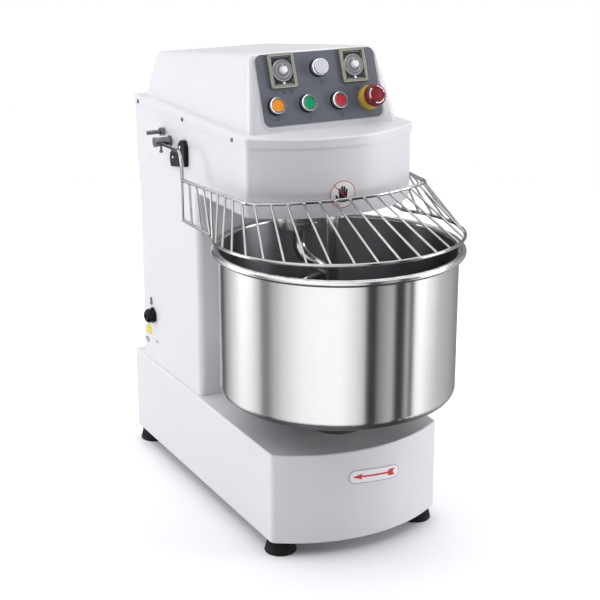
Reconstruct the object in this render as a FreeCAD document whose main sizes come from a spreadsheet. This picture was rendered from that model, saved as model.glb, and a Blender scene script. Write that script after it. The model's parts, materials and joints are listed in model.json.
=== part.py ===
"""Spiral dough mixer with a fixed head, a driven bowl, a spiral hook and a wire guard.

Frame: millimetres, +Z up, front of the machine towards -Y. The origin lies on the floor,
under the middle of the machine's bounding box. The bowl's axis is vertical, at y = bowl_y.
"""
import FreeCAD, Part
import math
import os
import Sketcher

V = FreeCAD.Vector

# the turns that point an upright piece at each side of the machine
FACING = {"left": ((0, 1, 0), -90), "right": ((0, 1, 0), 90), "rear": ((1, 0, 0), -90)}

# alias, value in millimetres or degrees, meaning
DIMENSIONS = [
    ("bowl_y", -163, "bowl axis, from the origin"),
    ("sheet_wall", 2, "steel sheet of the casings"),
    ("base_half", 164, "half width of the base"),
    ("base_rear", 381, "rear face of the base"),
    ("base_corner", -229, "front corners of the base"),
    ("base_front", -281, "middle of the bowed front of the base"),
    ("base_low", 27, "underside of the base, on its feet"),
    ("base_high", 190, "top of the base"),
    ("column_half", 158, "half width of the column and of the head"),
    ("column_front", 68, "front face of the column"),
    ("column_rear", 343, "rear face of the column"),
    ("head_rear", 351, "rear face of the head"),
    ("head_corner", -133, "front corners of the head"),
    ("head_front", -196, "middle of the bowed front of the head"),
    ("head_low", 577, "underside of the head"),
    ("seam_z", 695, "lower edge of the top cover's skirt"),
    ("ledge_z", 710, "ledge round the top cover's dome"),
    ("skirt_gap", 2, "how far the skirt stands out past the head"),
    ("casing_corner", 12, "outer radius of the casings' upright corners"),
    ("fold_radius", 3, "outer radius of the casings' level folds"),
    ("block_depth", 8, "how far the guard's switch blocks stand out"),
    ("dome_half", 142, "half width of the dome at the ledge"),
    ("dome_front", -119, "front of the dome at the ledge"),
    ("dome_rear", 334, "rear of the dome at the ledge"),
    ("dome_top_half", 119, "half width of the dome's top"),
    ("dome_top_front", -74, "front of the dome's top"),
    ("dome_top_rear", 327, "rear of the dome's top"),
    ("dome_high", 836, "front edge of the dome's top"),
    ("dome_low", 790, "rear edge of the dome's top"),
    ("dome_wall", 5, "wall of the moulded dome"),
    ("dome_round", 12, "radius of the dome's edges"),
    ("bowl_radius", 204, "outside of the bowl's wall"),
    ("bowl_wall", 1.8, "bowl sheet"),
    ("bowl_low", 258, "underside of the bowl"),
    ("bowl_high", 513, "top of the bowl's wall, in the rolled rim"),
    ("bowl_corner", 16, "outer radius between the bowl's wall and floor"),
    ("rim_radius", 6, "rolled rim"),
    ("carrier_radius", 152, "disc that carries the bowl"),
    ("bowl_shaft_radius", 17.5, "bowl shaft"),
    ("bowl_pulley_radius", 108, "pulley on the bowl shaft"),
    ("low_pulley_radius", 18, "transmission pulley that drives the bowl"),
    ("bowl_belt_z", 92, "middle of the bowl belt"),
    ("transmission_y", 105, "transmission shaft"),
    ("transmission_radius", 12.5, "transmission shaft"),
    ("drive_pulley_radius", 117, "transmission pulley driven by the motor"),
    ("motor_pulley_radius", 18, "pulley on the motor shaft"),
    ("motor_belt_z", 662, "middle of the motor belt"),
    ("motor_y", 257, "motor shaft"),
    ("motor_radius", 68, "motor housing"),
    ("motor_shaft_radius", 9.5, "motor shaft"),
    ("upper_pulley_radius", 63, "transmission pulley that drives the spiral"),
    ("spiral_pulley_radius", 45, "pulley on the spiral shaft"),
    ("spiral_belt_z", 626, "middle of the spiral belt"),
    ("spiral_x", -22, "spiral shaft"),
    ("spiral_y", -63, "spiral shaft"),
    ("spiral_shaft_radius", 15, "spiral shaft"),
    ("spiral_sweep", 82, "outside of the circle that the spiral hook sweeps"),
    ("spiral_bar", 11, "radius of the spiral hook's bar"),
    ("bar_x", -12, "centre bar"),
    ("bar_radius", 11, "centre bar"),
    ("belt_width", 20, "belts"),
    ("belt_thickness", 4, "belts"),
    ("belt_gap", 0.3, "between a belt and its pulleys"),
    ("running_gap", 0.06, "between a shaft and its bearings"),
    ("guard_ring_radius", 213, "circle of the guard's lower ring, to the wire's middle"),
    ("guard_low_z", 537, "guard's lower ring, above the bowl's axis"),
    ("guard_tilt", 2, "slope of the guard's lower ring, in degrees"),
    ("guard_high_z", 609, "guard's upper ring"),
    ("guard_side", 196, "rear ends of the guard, to the wire's middle"),
    ("guard_low_side", 190, "where the lower ring leaves the bowl's circle"),
    ("guard_end_z", 538, "rear ends of the lower ring"),
    ("guard_rear", 42, "rear ends of the guard's rings"),
    ("guard_front", -212, "middle of the upper ring's bowed front"),
    ("guard_corner", 171, "front corners of the upper ring"),
    ("guard_bow", 45, "depth of the upper ring's bowed front"),
    ("ring_wire", 3, "radius of the guard's ring wire"),
    ("rod_wire", 2, "radius of the guard's rods"),
    ("front_rods", 8, "rods across the front, each side of the middle one"),
    ("side_rods", 7, "rods along each side of the guard"),
    ("rod_pitch_high", 26.8, "between the front rods, along the upper ring"),
    ("rod_pitch_low", 37.9, "between the front rods, along the lower ring"),
    ("rod_shift_high", -8.3, "middle rod, off the upper ring's middle"),
    ("rod_shift_low", -7, "middle rod, off the lower ring's middle"),
    ("arm_x", 178, "guard arm's end in its hinge"),
    ("arm_bend", 24, "bend of the guard's arm"),
    ("pivot_y", 179, "guard hinge"),
    ("pivot_z", 650, "guard hinge"),
    ("pivot_radius", 7, "guard hinge's shaft"),
    ("panel_low", 11, "lower edge of the control panel, up the dome's front"),
    ("panel_high", 131, "upper edge of the control panel, up the dome's front"),
    ("panel_half", 113, "half width of the control panel"),
    ("panel_plate", 1.5, "control panel sheet"),
    ("control_pitch", 59, "between the push buttons"),
    ("button_row", 44, "push buttons, up the dome's front"),
    ("timer_row", 102, "timers, up the dome's front"),
    ("timer_x", 68, "timers, each side of the middle"),
    ("button_radius", 10.5, "push button cap"),
    ("bezel_radius", 14, "push button bezel"),
    ("bezel_height", 12, "push button bezel, from the panel"),
    ("flush_cap", 11.5, "face of a flush push button, from the panel"),
    ("tall_cap", 18, "face of the raised push button, from the panel"),
    ("foot_x", 137, "feet"),
    ("foot_front", -210, "front feet"),
    ("foot_rear", 352, "rear feet"),
    ("foot_radius", 28, "top of a rubber foot"),
    ("gland_y", 287, "cable gland"),
    ("gland_z", 285, "cable gland"),
]

doc = FreeCAD.newDocument("spiral_mixer")
sheet = doc.addObject("Spreadsheet::Sheet", "dims")
for row, (alias, value, meaning) in enumerate(DIMENSIONS, start=1):
    sheet.set(f"A{row}", meaning)
    sheet.set(f"B{row}", str(value))
    sheet.setAlias(f"B{row}", alias)
doc.recompute()

parts = []


def size(formula):
    """Work out a formula of the sheet's dimensions."""
    return float(sheet.evalExpression(formula.replace("dims.", "")))


def keep(obj, name):
    """Name an object as a finished sub-part."""
    obj.Label = name
    parts.append(obj)
    return obj


def place(obj, x="0", y="0", z="0", turn=None):
    """Put an object at a point given by formulas, after a turn of (axis, degrees)."""
    if turn:
        obj.Placement = FreeCAD.Placement(V(), FreeCAD.Rotation(V(*turn[0]), turn[1]))
    for letter, formula in zip("xyz", (x, y, z)):
        obj.setExpression(f"Placement.Base.{letter}", str(formula))
    return obj


def primitive(kind, at=("0", "0", "0"), turn=None, **sizes):
    obj = doc.addObject(f"Part::{kind}", kind)
    for name, formula in sizes.items():
        obj.setExpression(name, str(formula))
    return place(obj, *at, turn=turn)


def cylinder(radius, height, at=("0", "0", "0"), turn=None):
    return primitive("Cylinder", at, turn, Radius=radius, Height=height)


def cone(low_radius, high_radius, height, at):
    return primitive("Cone", at, Radius1=low_radius, Radius2=high_radius, Height=height)


def block(length, width, height, at, turn=None):
    """A box whose footprint is centred on the point, with its underside there."""
    x, y, z = at
    corner = (f"{x} - ({length}) / 2", f"{y} - ({width}) / 2", z)
    return primitive("Box", corner, turn, Length=length, Width=width, Height=height)


def fuse(*shapes):
    obj = doc.addObject("Part::MultiFuse", "Fuse")
    obj.Shapes = list(shapes)
    return obj


def group(*shapes):
    """Several separate solids as one sub-part."""
    obj = doc.addObject("Part::Compound", "Group")
    obj.Links = list(shapes)
    return obj


def cut(base, *tools):
    obj = doc.addObject("Part::Cut", "Cut")
    obj.Base = base
    obj.Tool = tools[0] if len(tools) == 1 else group(*tools)
    return obj


def feature(shape):
    obj = doc.addObject("Part::Feature", "Shape")
    obj.Shape = shape
    return obj


# ---------------------------------------------------------------- PartDesign helpers

def new_body():
    return doc.addObject("PartDesign::Body", "Body")


def sketch_on(body, role, offset="0", tilt=None):
    """A sketch on one of the body's origin planes, moved along the plane's normal."""
    sketch = body.newObject("Sketcher::SketchObject", "Sketch")
    plane = next(o for o in body.Origin.OriginFeatures if o.Role == role)
    sketch.AttachmentSupport = [(plane, "")]
    sketch.MapMode = "FlatFace"
    if tilt:
        sketch.AttachmentOffset = FreeCAD.Placement(V(), FreeCAD.Rotation(V(1, 0, 0), 1))
        sketch.setExpression("AttachmentOffset.Rotation.Angle", tilt)
    sketch.setExpression("AttachmentOffset.Base.z", str(offset))
    return sketch


def pin_vertex(sketch, edge, end, x, y):
    """Hold one end of a sketch edge at a point given by formulas."""
    for kind, formula in (("DistanceX", x), ("DistanceY", y)):
        index = sketch.addConstraint(Sketcher.Constraint(kind, edge, end, size(formula)))
        sketch.setExpression(f"Constraints[{index}]", formula)


def polygon(sketch, corners):
    """Draw a closed outline of straight edges through corners given by formulas."""
    points = [V(size(x), size(y), 0) for x, y in corners]
    count = len(points)
    for index, point in enumerate(points):
        sketch.addGeometry(Part.LineSegment(point, points[(index + 1) % count]), False)
    for index in range(count):
        sketch.addConstraint(Sketcher.Constraint("Coincident", index, 2, (index + 1) % count, 1))
    for index, (x, y) in enumerate(corners):
        pin_vertex(sketch, index, 1, x, y)
    return sketch


def rectangle(sketch, left, right, low, high):
    return polygon(sketch, [(left, low), (right, low), (right, high), (left, high)])


def circle(sketch, x, y, radius):
    index = sketch.addGeometry(Part.Circle(V(size(x), size(y), 0), V(0, 0, 1), size(radius)), False)
    pin_vertex(sketch, index, 3, x, y)
    radius_index = sketch.addConstraint(Sketcher.Constraint("Radius", index, size(radius)))
    sketch.setExpression(f"Constraints[{radius_index}]", radius)
    return sketch


def bowed_outline(sketch, half, rear, corner, front):
    """Plan of a casing: straight rear and sides, and a front bowed out in one arc."""
    left, right = f"-({half})", f"({half})"
    rear_left, rear_right = V(-size(half), size(rear), 0), V(size(half), size(rear), 0)
    front_left, front_right = V(-size(half), size(corner), 0), V(size(half), size(corner), 0)
    sketch.addGeometry(Part.LineSegment(rear_left, rear_right), False)
    sketch.addGeometry(Part.LineSegment(rear_right, front_right), False)
    sketch.addGeometry(Part.Arc(front_left, V(0, size(front), 0), front_right), False)
    sketch.addGeometry(Part.LineSegment(front_left, rear_left), False)
    for first, first_end, second, second_end in ((0, 2, 1, 1), (1, 2, 2, 2), (2, 1, 3, 1), (3, 2, 0, 1)):
        sketch.addConstraint(Sketcher.Constraint("Coincident", first, first_end, second, second_end))
    pin_vertex(sketch, 0, 1, left, rear)
    pin_vertex(sketch, 0, 2, right, rear)
    pin_vertex(sketch, 2, 1, left, corner)
    pin_vertex(sketch, 2, 2, right, corner)
    bow = f"(({corner}) - ({front}))"
    radius = f"(({half})^2 + {bow}^2) / (2 * {bow})"
    index = sketch.addConstraint(Sketcher.Constraint("Radius", 2, size(radius)))
    sketch.setExpression(f"Constraints[{index}]", radius)
    return sketch


def pad(body, sketch, length):
    step = body.newObject("PartDesign::Pad", "Pad")
    step.Profile = sketch
    step.setExpression("Length", length)
    return step


def pocket(body, sketch, length, upward=True):
    """Cut from the sketch's plane, along its normal when upward, and check that it cut."""
    doc.recompute()
    before = body.Shape.Volume
    step = body.newObject("PartDesign::Pocket", "Pocket")
    step.Profile = sketch
    step.setExpression("Length", length)
    step.Reversed = upward
    doc.recompute()
    if body.Shape.Volume >= before - 1:
        raise RuntimeError("a pocket cut nothing")
    return step


def turned(corners, x="0", y="0"):
    """A body of revolution about an upright axis, from a profile of (radius, height)."""
    body = new_body()
    sketch = polygon(sketch_on(body, "XZ_Plane"), corners)
    step = body.newObject("PartDesign::Revolution", "Revolution")
    step.Profile = sketch
    step.ReferenceAxis = (sketch, ["V_Axis"])
    step.Angle = 360
    return place(body, x, y)


def round_edges(body, radius, wanted):
    """Fillet the edges of the body's last feature that the test picks."""
    doc.recompute()
    base = body.Tip
    names = [f"Edge{i}" for i, edge in enumerate(base.Shape.Edges, start=1) if wanted(edge)]
    if not names:
        raise RuntimeError("no edge to round")
    step = body.newObject("PartDesign::Fillet", "Fillet")
    step.Base = (base, names)
    step.setExpression("Radius", radius)
    return step


def upright_at(half):
    """Picks upright edges whose distance from the middle plane is the given formula."""
    return lambda edge: (abs(edge.tangentAt(edge.FirstParameter).z) > 0.99
                         and abs(abs(edge.CenterOfMass.x) - size(half)) < 0.05)


def level_at(height):
    """Picks edges that lie level at the given height."""
    return lambda edge: abs(edge.BoundBox.ZMin - height) < 0.01 and abs(edge.BoundBox.ZMax - height) < 0.01


def casing(half, rear, corner, front, low, high, closed):
    """A sheet casing with rounded upright corners, closed at its top or its bottom."""
    wall = "dims.sheet_wall"
    body = new_body()
    pad(body, bowed_outline(sketch_on(body, "XY_Plane", low), half, rear, corner, front),
        f"{high} - {low}")
    start = low if closed == "top" else f"{low} + {wall}"
    inner = bowed_outline(sketch_on(body, "XY_Plane", start), f"{half} - {wall}", f"{rear} - {wall}",
                          f"{corner} + {wall}", f"{front} + {wall}")
    pocket(body, inner, f"{high} - {low} - {wall}")
    round_edges(body, "dims.casing_corner", upright_at(half))
    round_edges(body, f"dims.casing_corner - {wall}", upright_at(f"{half} - {wall}"))
    return body


# ---------------------------------------------------------------- frame and casings

def make_base():
    base = casing("dims.base_half", "dims.base_rear", "dims.base_corner", "dims.base_front",
                  "dims.base_low", "dims.base_high", closed="top")
    top = size("dims.base_high")
    round_edges(base, "dims.fold_radius", level_at(top))
    roof = "dims.base_high - 2 * dims.sheet_wall"
    pocket(base, circle(sketch_on(base, "XY_Plane", roof), "0", "dims.bowl_y", "46"), "10")
    passage = rectangle(sketch_on(base, "XY_Plane", roof), "-110", "110",
                        "dims.column_front + 20", "dims.column_rear - 20")
    pocket(base, passage, "10")
    keep(base, "base_shell")

    plate = new_body()
    gap = "(dims.sheet_wall + 0.5)"
    outline = bowed_outline(sketch_on(plate, "XY_Plane", "dims.base_low"), f"dims.base_half - {gap}",
                            f"dims.base_rear - {gap}", f"dims.base_corner + {gap}",
                            f"dims.base_front + {gap}")
    pad(plate, outline, "4")
    round_edges(plate, "dims.casing_corner", upright_at(f"dims.base_half - {gap}"))
    for x in ("-dims.foot_x", "dims.foot_x"):
        for y in ("dims.foot_front", "dims.foot_rear"):
            hole = circle(sketch_on(plate, "XY_Plane", "dims.base_low - 1"), x, y, "4.2")
            pocket(plate, hole, "10")
    keep(plate, "chassis_plate")


def make_feet():
    feet, bolts = [], []
    for x in ("-dims.foot_x", "dims.foot_x"):
        for y in ("dims.foot_front", "dims.foot_rear"):
            rubber = cone("dims.foot_radius - 5", "dims.foot_radius", "dims.base_low", (x, y, "0"))
            recess = cylinder("9", "7", (x, y, "0"))
            hole = cylinder("4.2", "dims.base_low", (x, y, "0"))
            feet.append(cut(rubber, recess, hole))
            bolts.append(fuse(cylinder("7", "5", (x, y, "2")),
                              cylinder("4", "dims.base_low + 8", (x, y, "6.9")),
                              primitive("Prism", (x, y, "dims.base_low + 4"), Polygon="6",
                                        Circumradius="7.5", Height="6.5")))
    keep(group(*feet), "rubber_feet")
    keep(group(*bolts), "feet_bolts")


def make_column():
    column = new_body()
    pad(column, rectangle(sketch_on(column, "XY_Plane", "dims.base_high"), "-dims.column_half",
                          "dims.column_half", "dims.column_front", "dims.column_rear"),
        "dims.head_low - dims.base_high")
    wall = "dims.sheet_wall"
    inner = rectangle(sketch_on(column, "XY_Plane", "dims.base_high - 1"),
                      f"-dims.column_half + {wall}", f"dims.column_half - {wall}",
                      f"dims.column_front + {wall}", f"dims.column_rear - {wall}")
    pocket(column, inner, "dims.head_low - dims.base_high + 2")
    round_edges(column, "dims.casing_corner", upright_at("dims.column_half"))
    round_edges(column, f"dims.casing_corner - {wall}", upright_at(f"dims.column_half - {wall}"))
    window = rectangle(sketch_on(column, "XZ_Plane", "-dims.column_rear - 1"), "-120", "120",
                       "dims.base_high + 40", "dims.head_low - 40")
    pocket(column, window, "8")
    gland = circle(sketch_on(column, "YZ_Plane", "-dims.column_half - 1"), "dims.gland_y",
                   "dims.gland_z", "10.2")
    pocket(column, gland, "6")
    keep(column, "column_shell")

    cover = new_body()
    pad(cover, rectangle(sketch_on(cover, "XZ_Plane", "-dims.column_rear - 1.5"), "-135", "135",
                         "dims.base_high + 20", "dims.head_low - 20"), "1.5")
    for side in ("-60", "60"):
        for number in range(7):
            low = f"dims.base_high + 70 + {number} * 14"
            slot = rectangle(sketch_on(cover, "XZ_Plane", "-dims.column_rear - 3"), f"{side} - 38",
                             f"{side} + 38", low, f"{low} + 5")
            pocket(cover, slot, "6")
    keep(cover, "rear_cover")
    screws = [screw_head(x, "dims.column_rear + 1.5", z, "rear")
              for x in ("-127", "127")
              for z in ("dims.base_high + 30", "(dims.base_high + dims.head_low) / 2",
                        "dims.head_low - 30")]
    keep(group(*screws), "rear_cover_screws")


def screw_head(x, y, z, side):
    """A low screw head with a straight slot, standing on a panel that faces the given side."""
    head = cut(cone("4", "2.9", "2", ("0", "0", "0")), block("9", "0.9", "3", ("0", "0", "1.1")))
    return place(head, x, y, z, turn=FACING[side])


def make_head():
    head = casing("dims.column_half", "dims.head_rear", "dims.head_corner", "dims.head_front",
                  "dims.head_low", "dims.ledge_z - 8", closed="bottom")
    floor = "dims.head_low - 1"
    passage = rectangle(sketch_on(head, "XY_Plane", floor), "-110", "110",
                        "dims.column_front + 20", "dims.column_rear - 20")
    pocket(head, passage, "4")
    pocket(head, circle(sketch_on(head, "XY_Plane", floor), "dims.spiral_x", "dims.spiral_y", "36"), "4")
    for side in ("-dims.column_half - 1", "dims.column_half - 5"):
        pivot = circle(sketch_on(head, "YZ_Plane", side), "dims.pivot_y", "dims.pivot_z", "10")
        pocket(head, pivot, "6")
    keep(head, "head_housing")


DOME_SLOPE = "atan((dims.dome_top_front - dims.dome_front) / (dims.dome_high - dims.ledge_z))"
ROOF_RUN = "(dims.dome_top_rear - dims.dome_top_front)"
ROOF_TILT = f"atan((dims.dome_low - dims.dome_high) / {ROOF_RUN})"
ROOF_LENGTH = f"sqrt({ROOF_RUN}^2 + (dims.dome_high - dims.dome_low)^2)"


def dome_sections(body, inset, start):
    """The dome's lower outline, and its upper one on the sloping roof, both set in by a wall."""
    low = rectangle(sketch_on(body, "XY_Plane", start), f"-dims.dome_half + {inset}",
                    f"dims.dome_half - {inset}", f"dims.dome_front + {inset}",
                    f"dims.dome_rear - {inset}")
    high = sketch_on(body, "XY_Plane", f"dims.dome_high - {inset}", tilt=ROOF_TILT)
    high.setExpression("AttachmentOffset.Base.y", "dims.dome_top_front")
    rectangle(high, f"-dims.dome_top_half + {inset}", f"dims.dome_top_half - {inset}", f"{inset}",
              f"{ROOF_LENGTH} - {inset}")
    return low, high


def make_top_cover():
    cover = new_body()
    out = "dims.skirt_gap"
    skirt = bowed_outline(sketch_on(cover, "XY_Plane", "dims.seam_z"), f"dims.column_half + {out}",
                          f"dims.head_rear + {out}", f"dims.head_corner - {out}",
                          f"dims.head_front - {out}")
    pad(cover, skirt, "dims.ledge_z - dims.seam_z")
    round_edges(cover, "dims.casing_corner", upright_at(f"dims.column_half + {out}"))
    top = size("dims.ledge_z")
    round_edges(cover, "dims.fold_radius", level_at(top))
    low, high = dome_sections(cover, "0", "dims.ledge_z")
    dome = cover.newObject("PartDesign::AdditiveLoft", "Dome")
    dome.Profile = low
    dome.Sections = [high]
    dome.Ruled = True
    doc.recompute()
    round_edges(cover, "dims.dome_round",
                lambda edge: edge.BoundBox.ZMax > top + 30)
    hollow = bowed_outline(sketch_on(cover, "XY_Plane", "dims.seam_z"), "dims.column_half",
                           "dims.head_rear", "dims.head_corner", "dims.head_front")
    pocket(cover, hollow, "dims.ledge_z - dims.seam_z - 4")
    low, high = dome_sections(cover, "dims.dome_wall", "dims.ledge_z - 4")
    void = cover.newObject("PartDesign::SubtractiveLoft", "Hollow")
    void.Profile = low
    void.Sections = [high]
    void.Ruled = True
    keep(cover, "top_cover")


def make_cover_screws():
    heads = []
    for side, sign in (("left", "-"), ("right", "")):
        for y in ("325", "118", "-86"):
            heads.append(screw_head(f"{sign}(dims.column_half + dims.skirt_gap)", y, "dims.seam_z + 4.5",
                                    side))
    keep(group(*heads), "cover_screws")


# ---------------------------------------------------------------- control panel

PANEL_TURN = f"90 deg - {DOME_SLOPE}"
BUTTON_PLACES = [f"{step} * dims.control_pitch" for step in ("-1.5", "-0.5", "0.5")]


def on_panel(obj):
    """Move a piece drawn on the flat (x across, y up the slope, z outwards) to the dome's front."""
    obj.Placement = FreeCAD.Placement(V(), FreeCAD.Rotation(V(1, 0, 0), 45))
    obj.setExpression("Placement.Rotation.Angle", PANEL_TURN)
    obj.setExpression("Placement.Base.y", "dims.dome_front")
    obj.setExpression("Placement.Base.z", "dims.ledge_z")
    return obj


def control_holes():
    """Holes for the buttons, the timers' shafts and the emergency stop."""
    holes = [cylinder("dims.button_radius + 0.9", "40", (x, "dims.button_row", "-20"))
             for x in BUTTON_PLACES]
    holes.append(cylinder("dims.button_radius + 0.9", "40", ("0", "dims.timer_row", "-20")))
    holes.append(cylinder("13.2", "40", ("1.5 * dims.control_pitch", "dims.button_row", "-20")))
    for x in ("-dims.timer_x", "dims.timer_x"):
        holes.append(cylinder("4", "40", (x, "dims.timer_row", "-20")))
    return group(*holes)


def rounded_plate(left, right, low, high, start, thickness, radius):
    body = new_body()
    pad(body, rectangle(sketch_on(body, "XY_Plane", start), left, right, low, high), thickness)
    round_edges(body, radius, lambda edge: abs(edge.tangentAt(edge.FirstParameter).z) > 0.99)
    return body


def push_button(x, y, high):
    """Cap and stem of a push button, in one turned piece."""
    low, r = "dims.bezel_height - 6", "dims.button_radius"
    body = turned([("0", "-16"), ("5.4", "-16"), ("5.4", low), (r, low), (r, f"{high} - 1.5"),
                   (f"{r} - 1.5", high), ("0", high)], x, y)
    return on_panel(group(body))


def make_controls():
    plate = rounded_plate("-dims.panel_half", "dims.panel_half", "dims.panel_low",
                          "dims.panel_high", "0", "dims.panel_plate", "12")
    keep(on_panel(cut(plate, control_holes())), "control_panel")

    places = [(x, "dims.button_row") for x in BUTTON_PLACES] + [("0", "dims.timer_row")]
    bezels, switches = [], []
    for x, y in places:
        ring = cylinder("dims.bezel_radius", "dims.bezel_height - dims.panel_plate - 1.2",
                        (x, y, "dims.panel_plate"))
        lip = cone("dims.bezel_radius", "dims.bezel_radius - 1.2", "1.2",
                   (x, y, "dims.bezel_height - 1.2"))
        barrel = cylinder("dims.button_radius + 0.5", "12", (x, y, "-10.4"))
        well = cylinder("dims.button_radius + 0.5", "20", (x, y, "dims.panel_plate + 0.1"))
        bore = cylinder("6", "30", (x, y, "-15"))
        bezels.append(cut(fuse(ring, lip, barrel), well, bore))
        switches.append(cut(block("26", "26", "22", (x, y, "-33")), cylinder("6", "14", (x, y, "-23"))))
    for x, name in zip(BUTTON_PLACES, ("orange_button", "green_button", "red_button")):
        keep(push_button(x, "dims.button_row", "dims.flush_cap"), name)
    keep(push_button("0", "dims.timer_row", "dims.tall_cap"), "white_button")
    keep(on_panel(group(*bezels)), "button_bezels")

    frames = []
    for sign, name in (("-", "left_timer_knob"), ("", "right_timer_knob")):
        x = f"{sign}dims.timer_x"
        frame = rounded_plate(f"{x} - 24", f"{x} + 24", "dims.timer_row - 29", "dims.timer_row + 29",
                              "dims.panel_plate", "5", "4")
        frames.append(cut(frame, block("38.4", "49", "4", (x, "dims.timer_row", "dims.panel_plate + 2.5")),
                          cylinder("3.06", "10", (x, "dims.timer_row", "0"))))
        knob = fuse(cylinder("17.8", "2", (x, "dims.timer_row", "dims.panel_plate + 3")),
                    cylinder("11.3", "1.5", (x, "dims.timer_row", "dims.panel_plate + 5")),
                    cone("6", "5.4", "7", (x, "dims.timer_row", "dims.panel_plate + 6.5")),
                    cylinder("3", "20", (x, "dims.timer_row", "-15")))
        keep(on_panel(knob), name)
        switches.append(cut(block("40", "46", "26", (x, "dims.timer_row", "-33")),
                            cylinder("3.5", "12", (x, "dims.timer_row", "-18"))))
    keep(on_panel(group(*frames)), "timer_frames")

    x, y = "1.5 * dims.control_pitch", "dims.button_row"
    collar = fuse(cylinder("20", "6.5", (x, y, "dims.panel_plate")),
                  cone("19.5", "16.5", "3.5", (x, y, "dims.panel_plate + 6.5")),
                  cylinder("14.5", "5.5", (x, y, "dims.panel_plate + 8.5")),
                  cylinder("13", "12", (x, y, "-10.4")))
    keep(on_panel(cut(collar, cylinder("8.06", "40", (x, y, "-20")))), "estop_collar")
    keep(on_panel(group(cylinder("8", "46", (x, y, "-18")))), "estop_stem")
    keep(estop_head(x, y), "estop_head")
    switches.append(cut(block("34", "34", "22", (x, y, "-33")), cylinder("9", "14", (x, y, "-25"))))
    keep(on_panel(group(*switches)), "switch_blocks")


def estop_head(x, y):
    """Mushroom head that twists on its stem."""
    body = turned([("8.06", "19.5"), ("16", "19.5"), ("19.5", "23"), ("19.5", "28"), ("15", "32.5"),
                   ("0", "34"), ("0", "28.3"), ("8.06", "28.3")])
    place(body, x, y)
    return on_panel(group(body))


# ---------------------------------------------------------------- drive

def v_pulley(radius, z, hub, bore, x, y):
    """Pulley for a flat-backed belt: two flanges, a belt seat and a hub."""
    half = "dims.belt_width / 2"
    profile = [(bore, f"{z} - {half} - 6"), (hub, f"{z} - {half} - 6"), (hub, f"{z} - {half} - 2.5"),
               (f"{radius} + 5", f"{z} - {half} - 2.5"), (f"{radius} + 5", f"{z} - {half} - 0.5"),
               (radius, f"{z} - {half} - 0.5"), (radius, f"{z} + {half} + 0.5"),
               (f"{radius} + 5", f"{z} + {half} + 0.5"), (f"{radius} + 5", f"{z} + {half} + 2.5"),
               (bore, f"{z} + {half} + 2.5")]
    return turned(profile, x, y)


def lighten(pulley, x, y, radius):
    """Cut six round windows in a large pulley's web."""
    windows = []
    for number in range(6):
        angle = f"({number} * 60 deg)"
        windows.append(cylinder(f"{radius} * 0.2", "800", (f"{x} + {radius} * 0.62 * cos{angle}",
                                                          f"{y} + {radius} * 0.62 * sin{angle}", "0")))
    return cut(pulley, *windows)


def belt(first, second, z):
    """Belt round two pulleys, each given as (x, y, radius) formulas."""
    x1, y1, r1 = (size(value) for value in first)
    x2, y2, r2 = (size(value) for value in second)
    gap, thickness, width = size("dims.belt_gap"), size("dims.belt_thickness"), size("dims.belt_width")
    distance = math.hypot(x2 - x1, y2 - y1)
    heading = math.atan2(y2 - y1, x2 - x1)

    def loop(offset):
        lean = math.acos((r1 - r2) / distance)
        tangents = []
        for turn in (lean, -lean):
            out = V(math.cos(heading + turn), math.sin(heading + turn), 0)
            tangents.append((V(x1, y1, 0) + out * (r1 + offset), V(x2, y2, 0) + out * (r2 + offset)))
        (left_1, left_2), (right_1, right_2) = tangents
        ahead = V(math.cos(heading), math.sin(heading), 0)
        far = V(x2, y2, 0) + ahead * (r2 + offset)
        near = V(x1, y1, 0) - ahead * (r1 + offset)
        return Part.Face(Part.Wire([
            Part.LineSegment(left_1, left_2).toShape(), Part.Arc(left_2, far, right_2).toShape(),
            Part.LineSegment(right_2, right_1).toShape(), Part.Arc(right_1, near, left_1).toShape()]))

    ring = loop(gap + thickness).cut(loop(gap))
    solid = ring.extrude(V(0, 0, width))
    solid.translate(V(0, 0, size(z) - width / 2))
    return feature(solid)


def bearing(bore, outside, z, x, y):
    return cut(cylinder(outside, "12", (x, y, z)),
               cylinder(f"{bore} + dims.running_gap", "14", (x, y, f"{z} - 1")))


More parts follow.
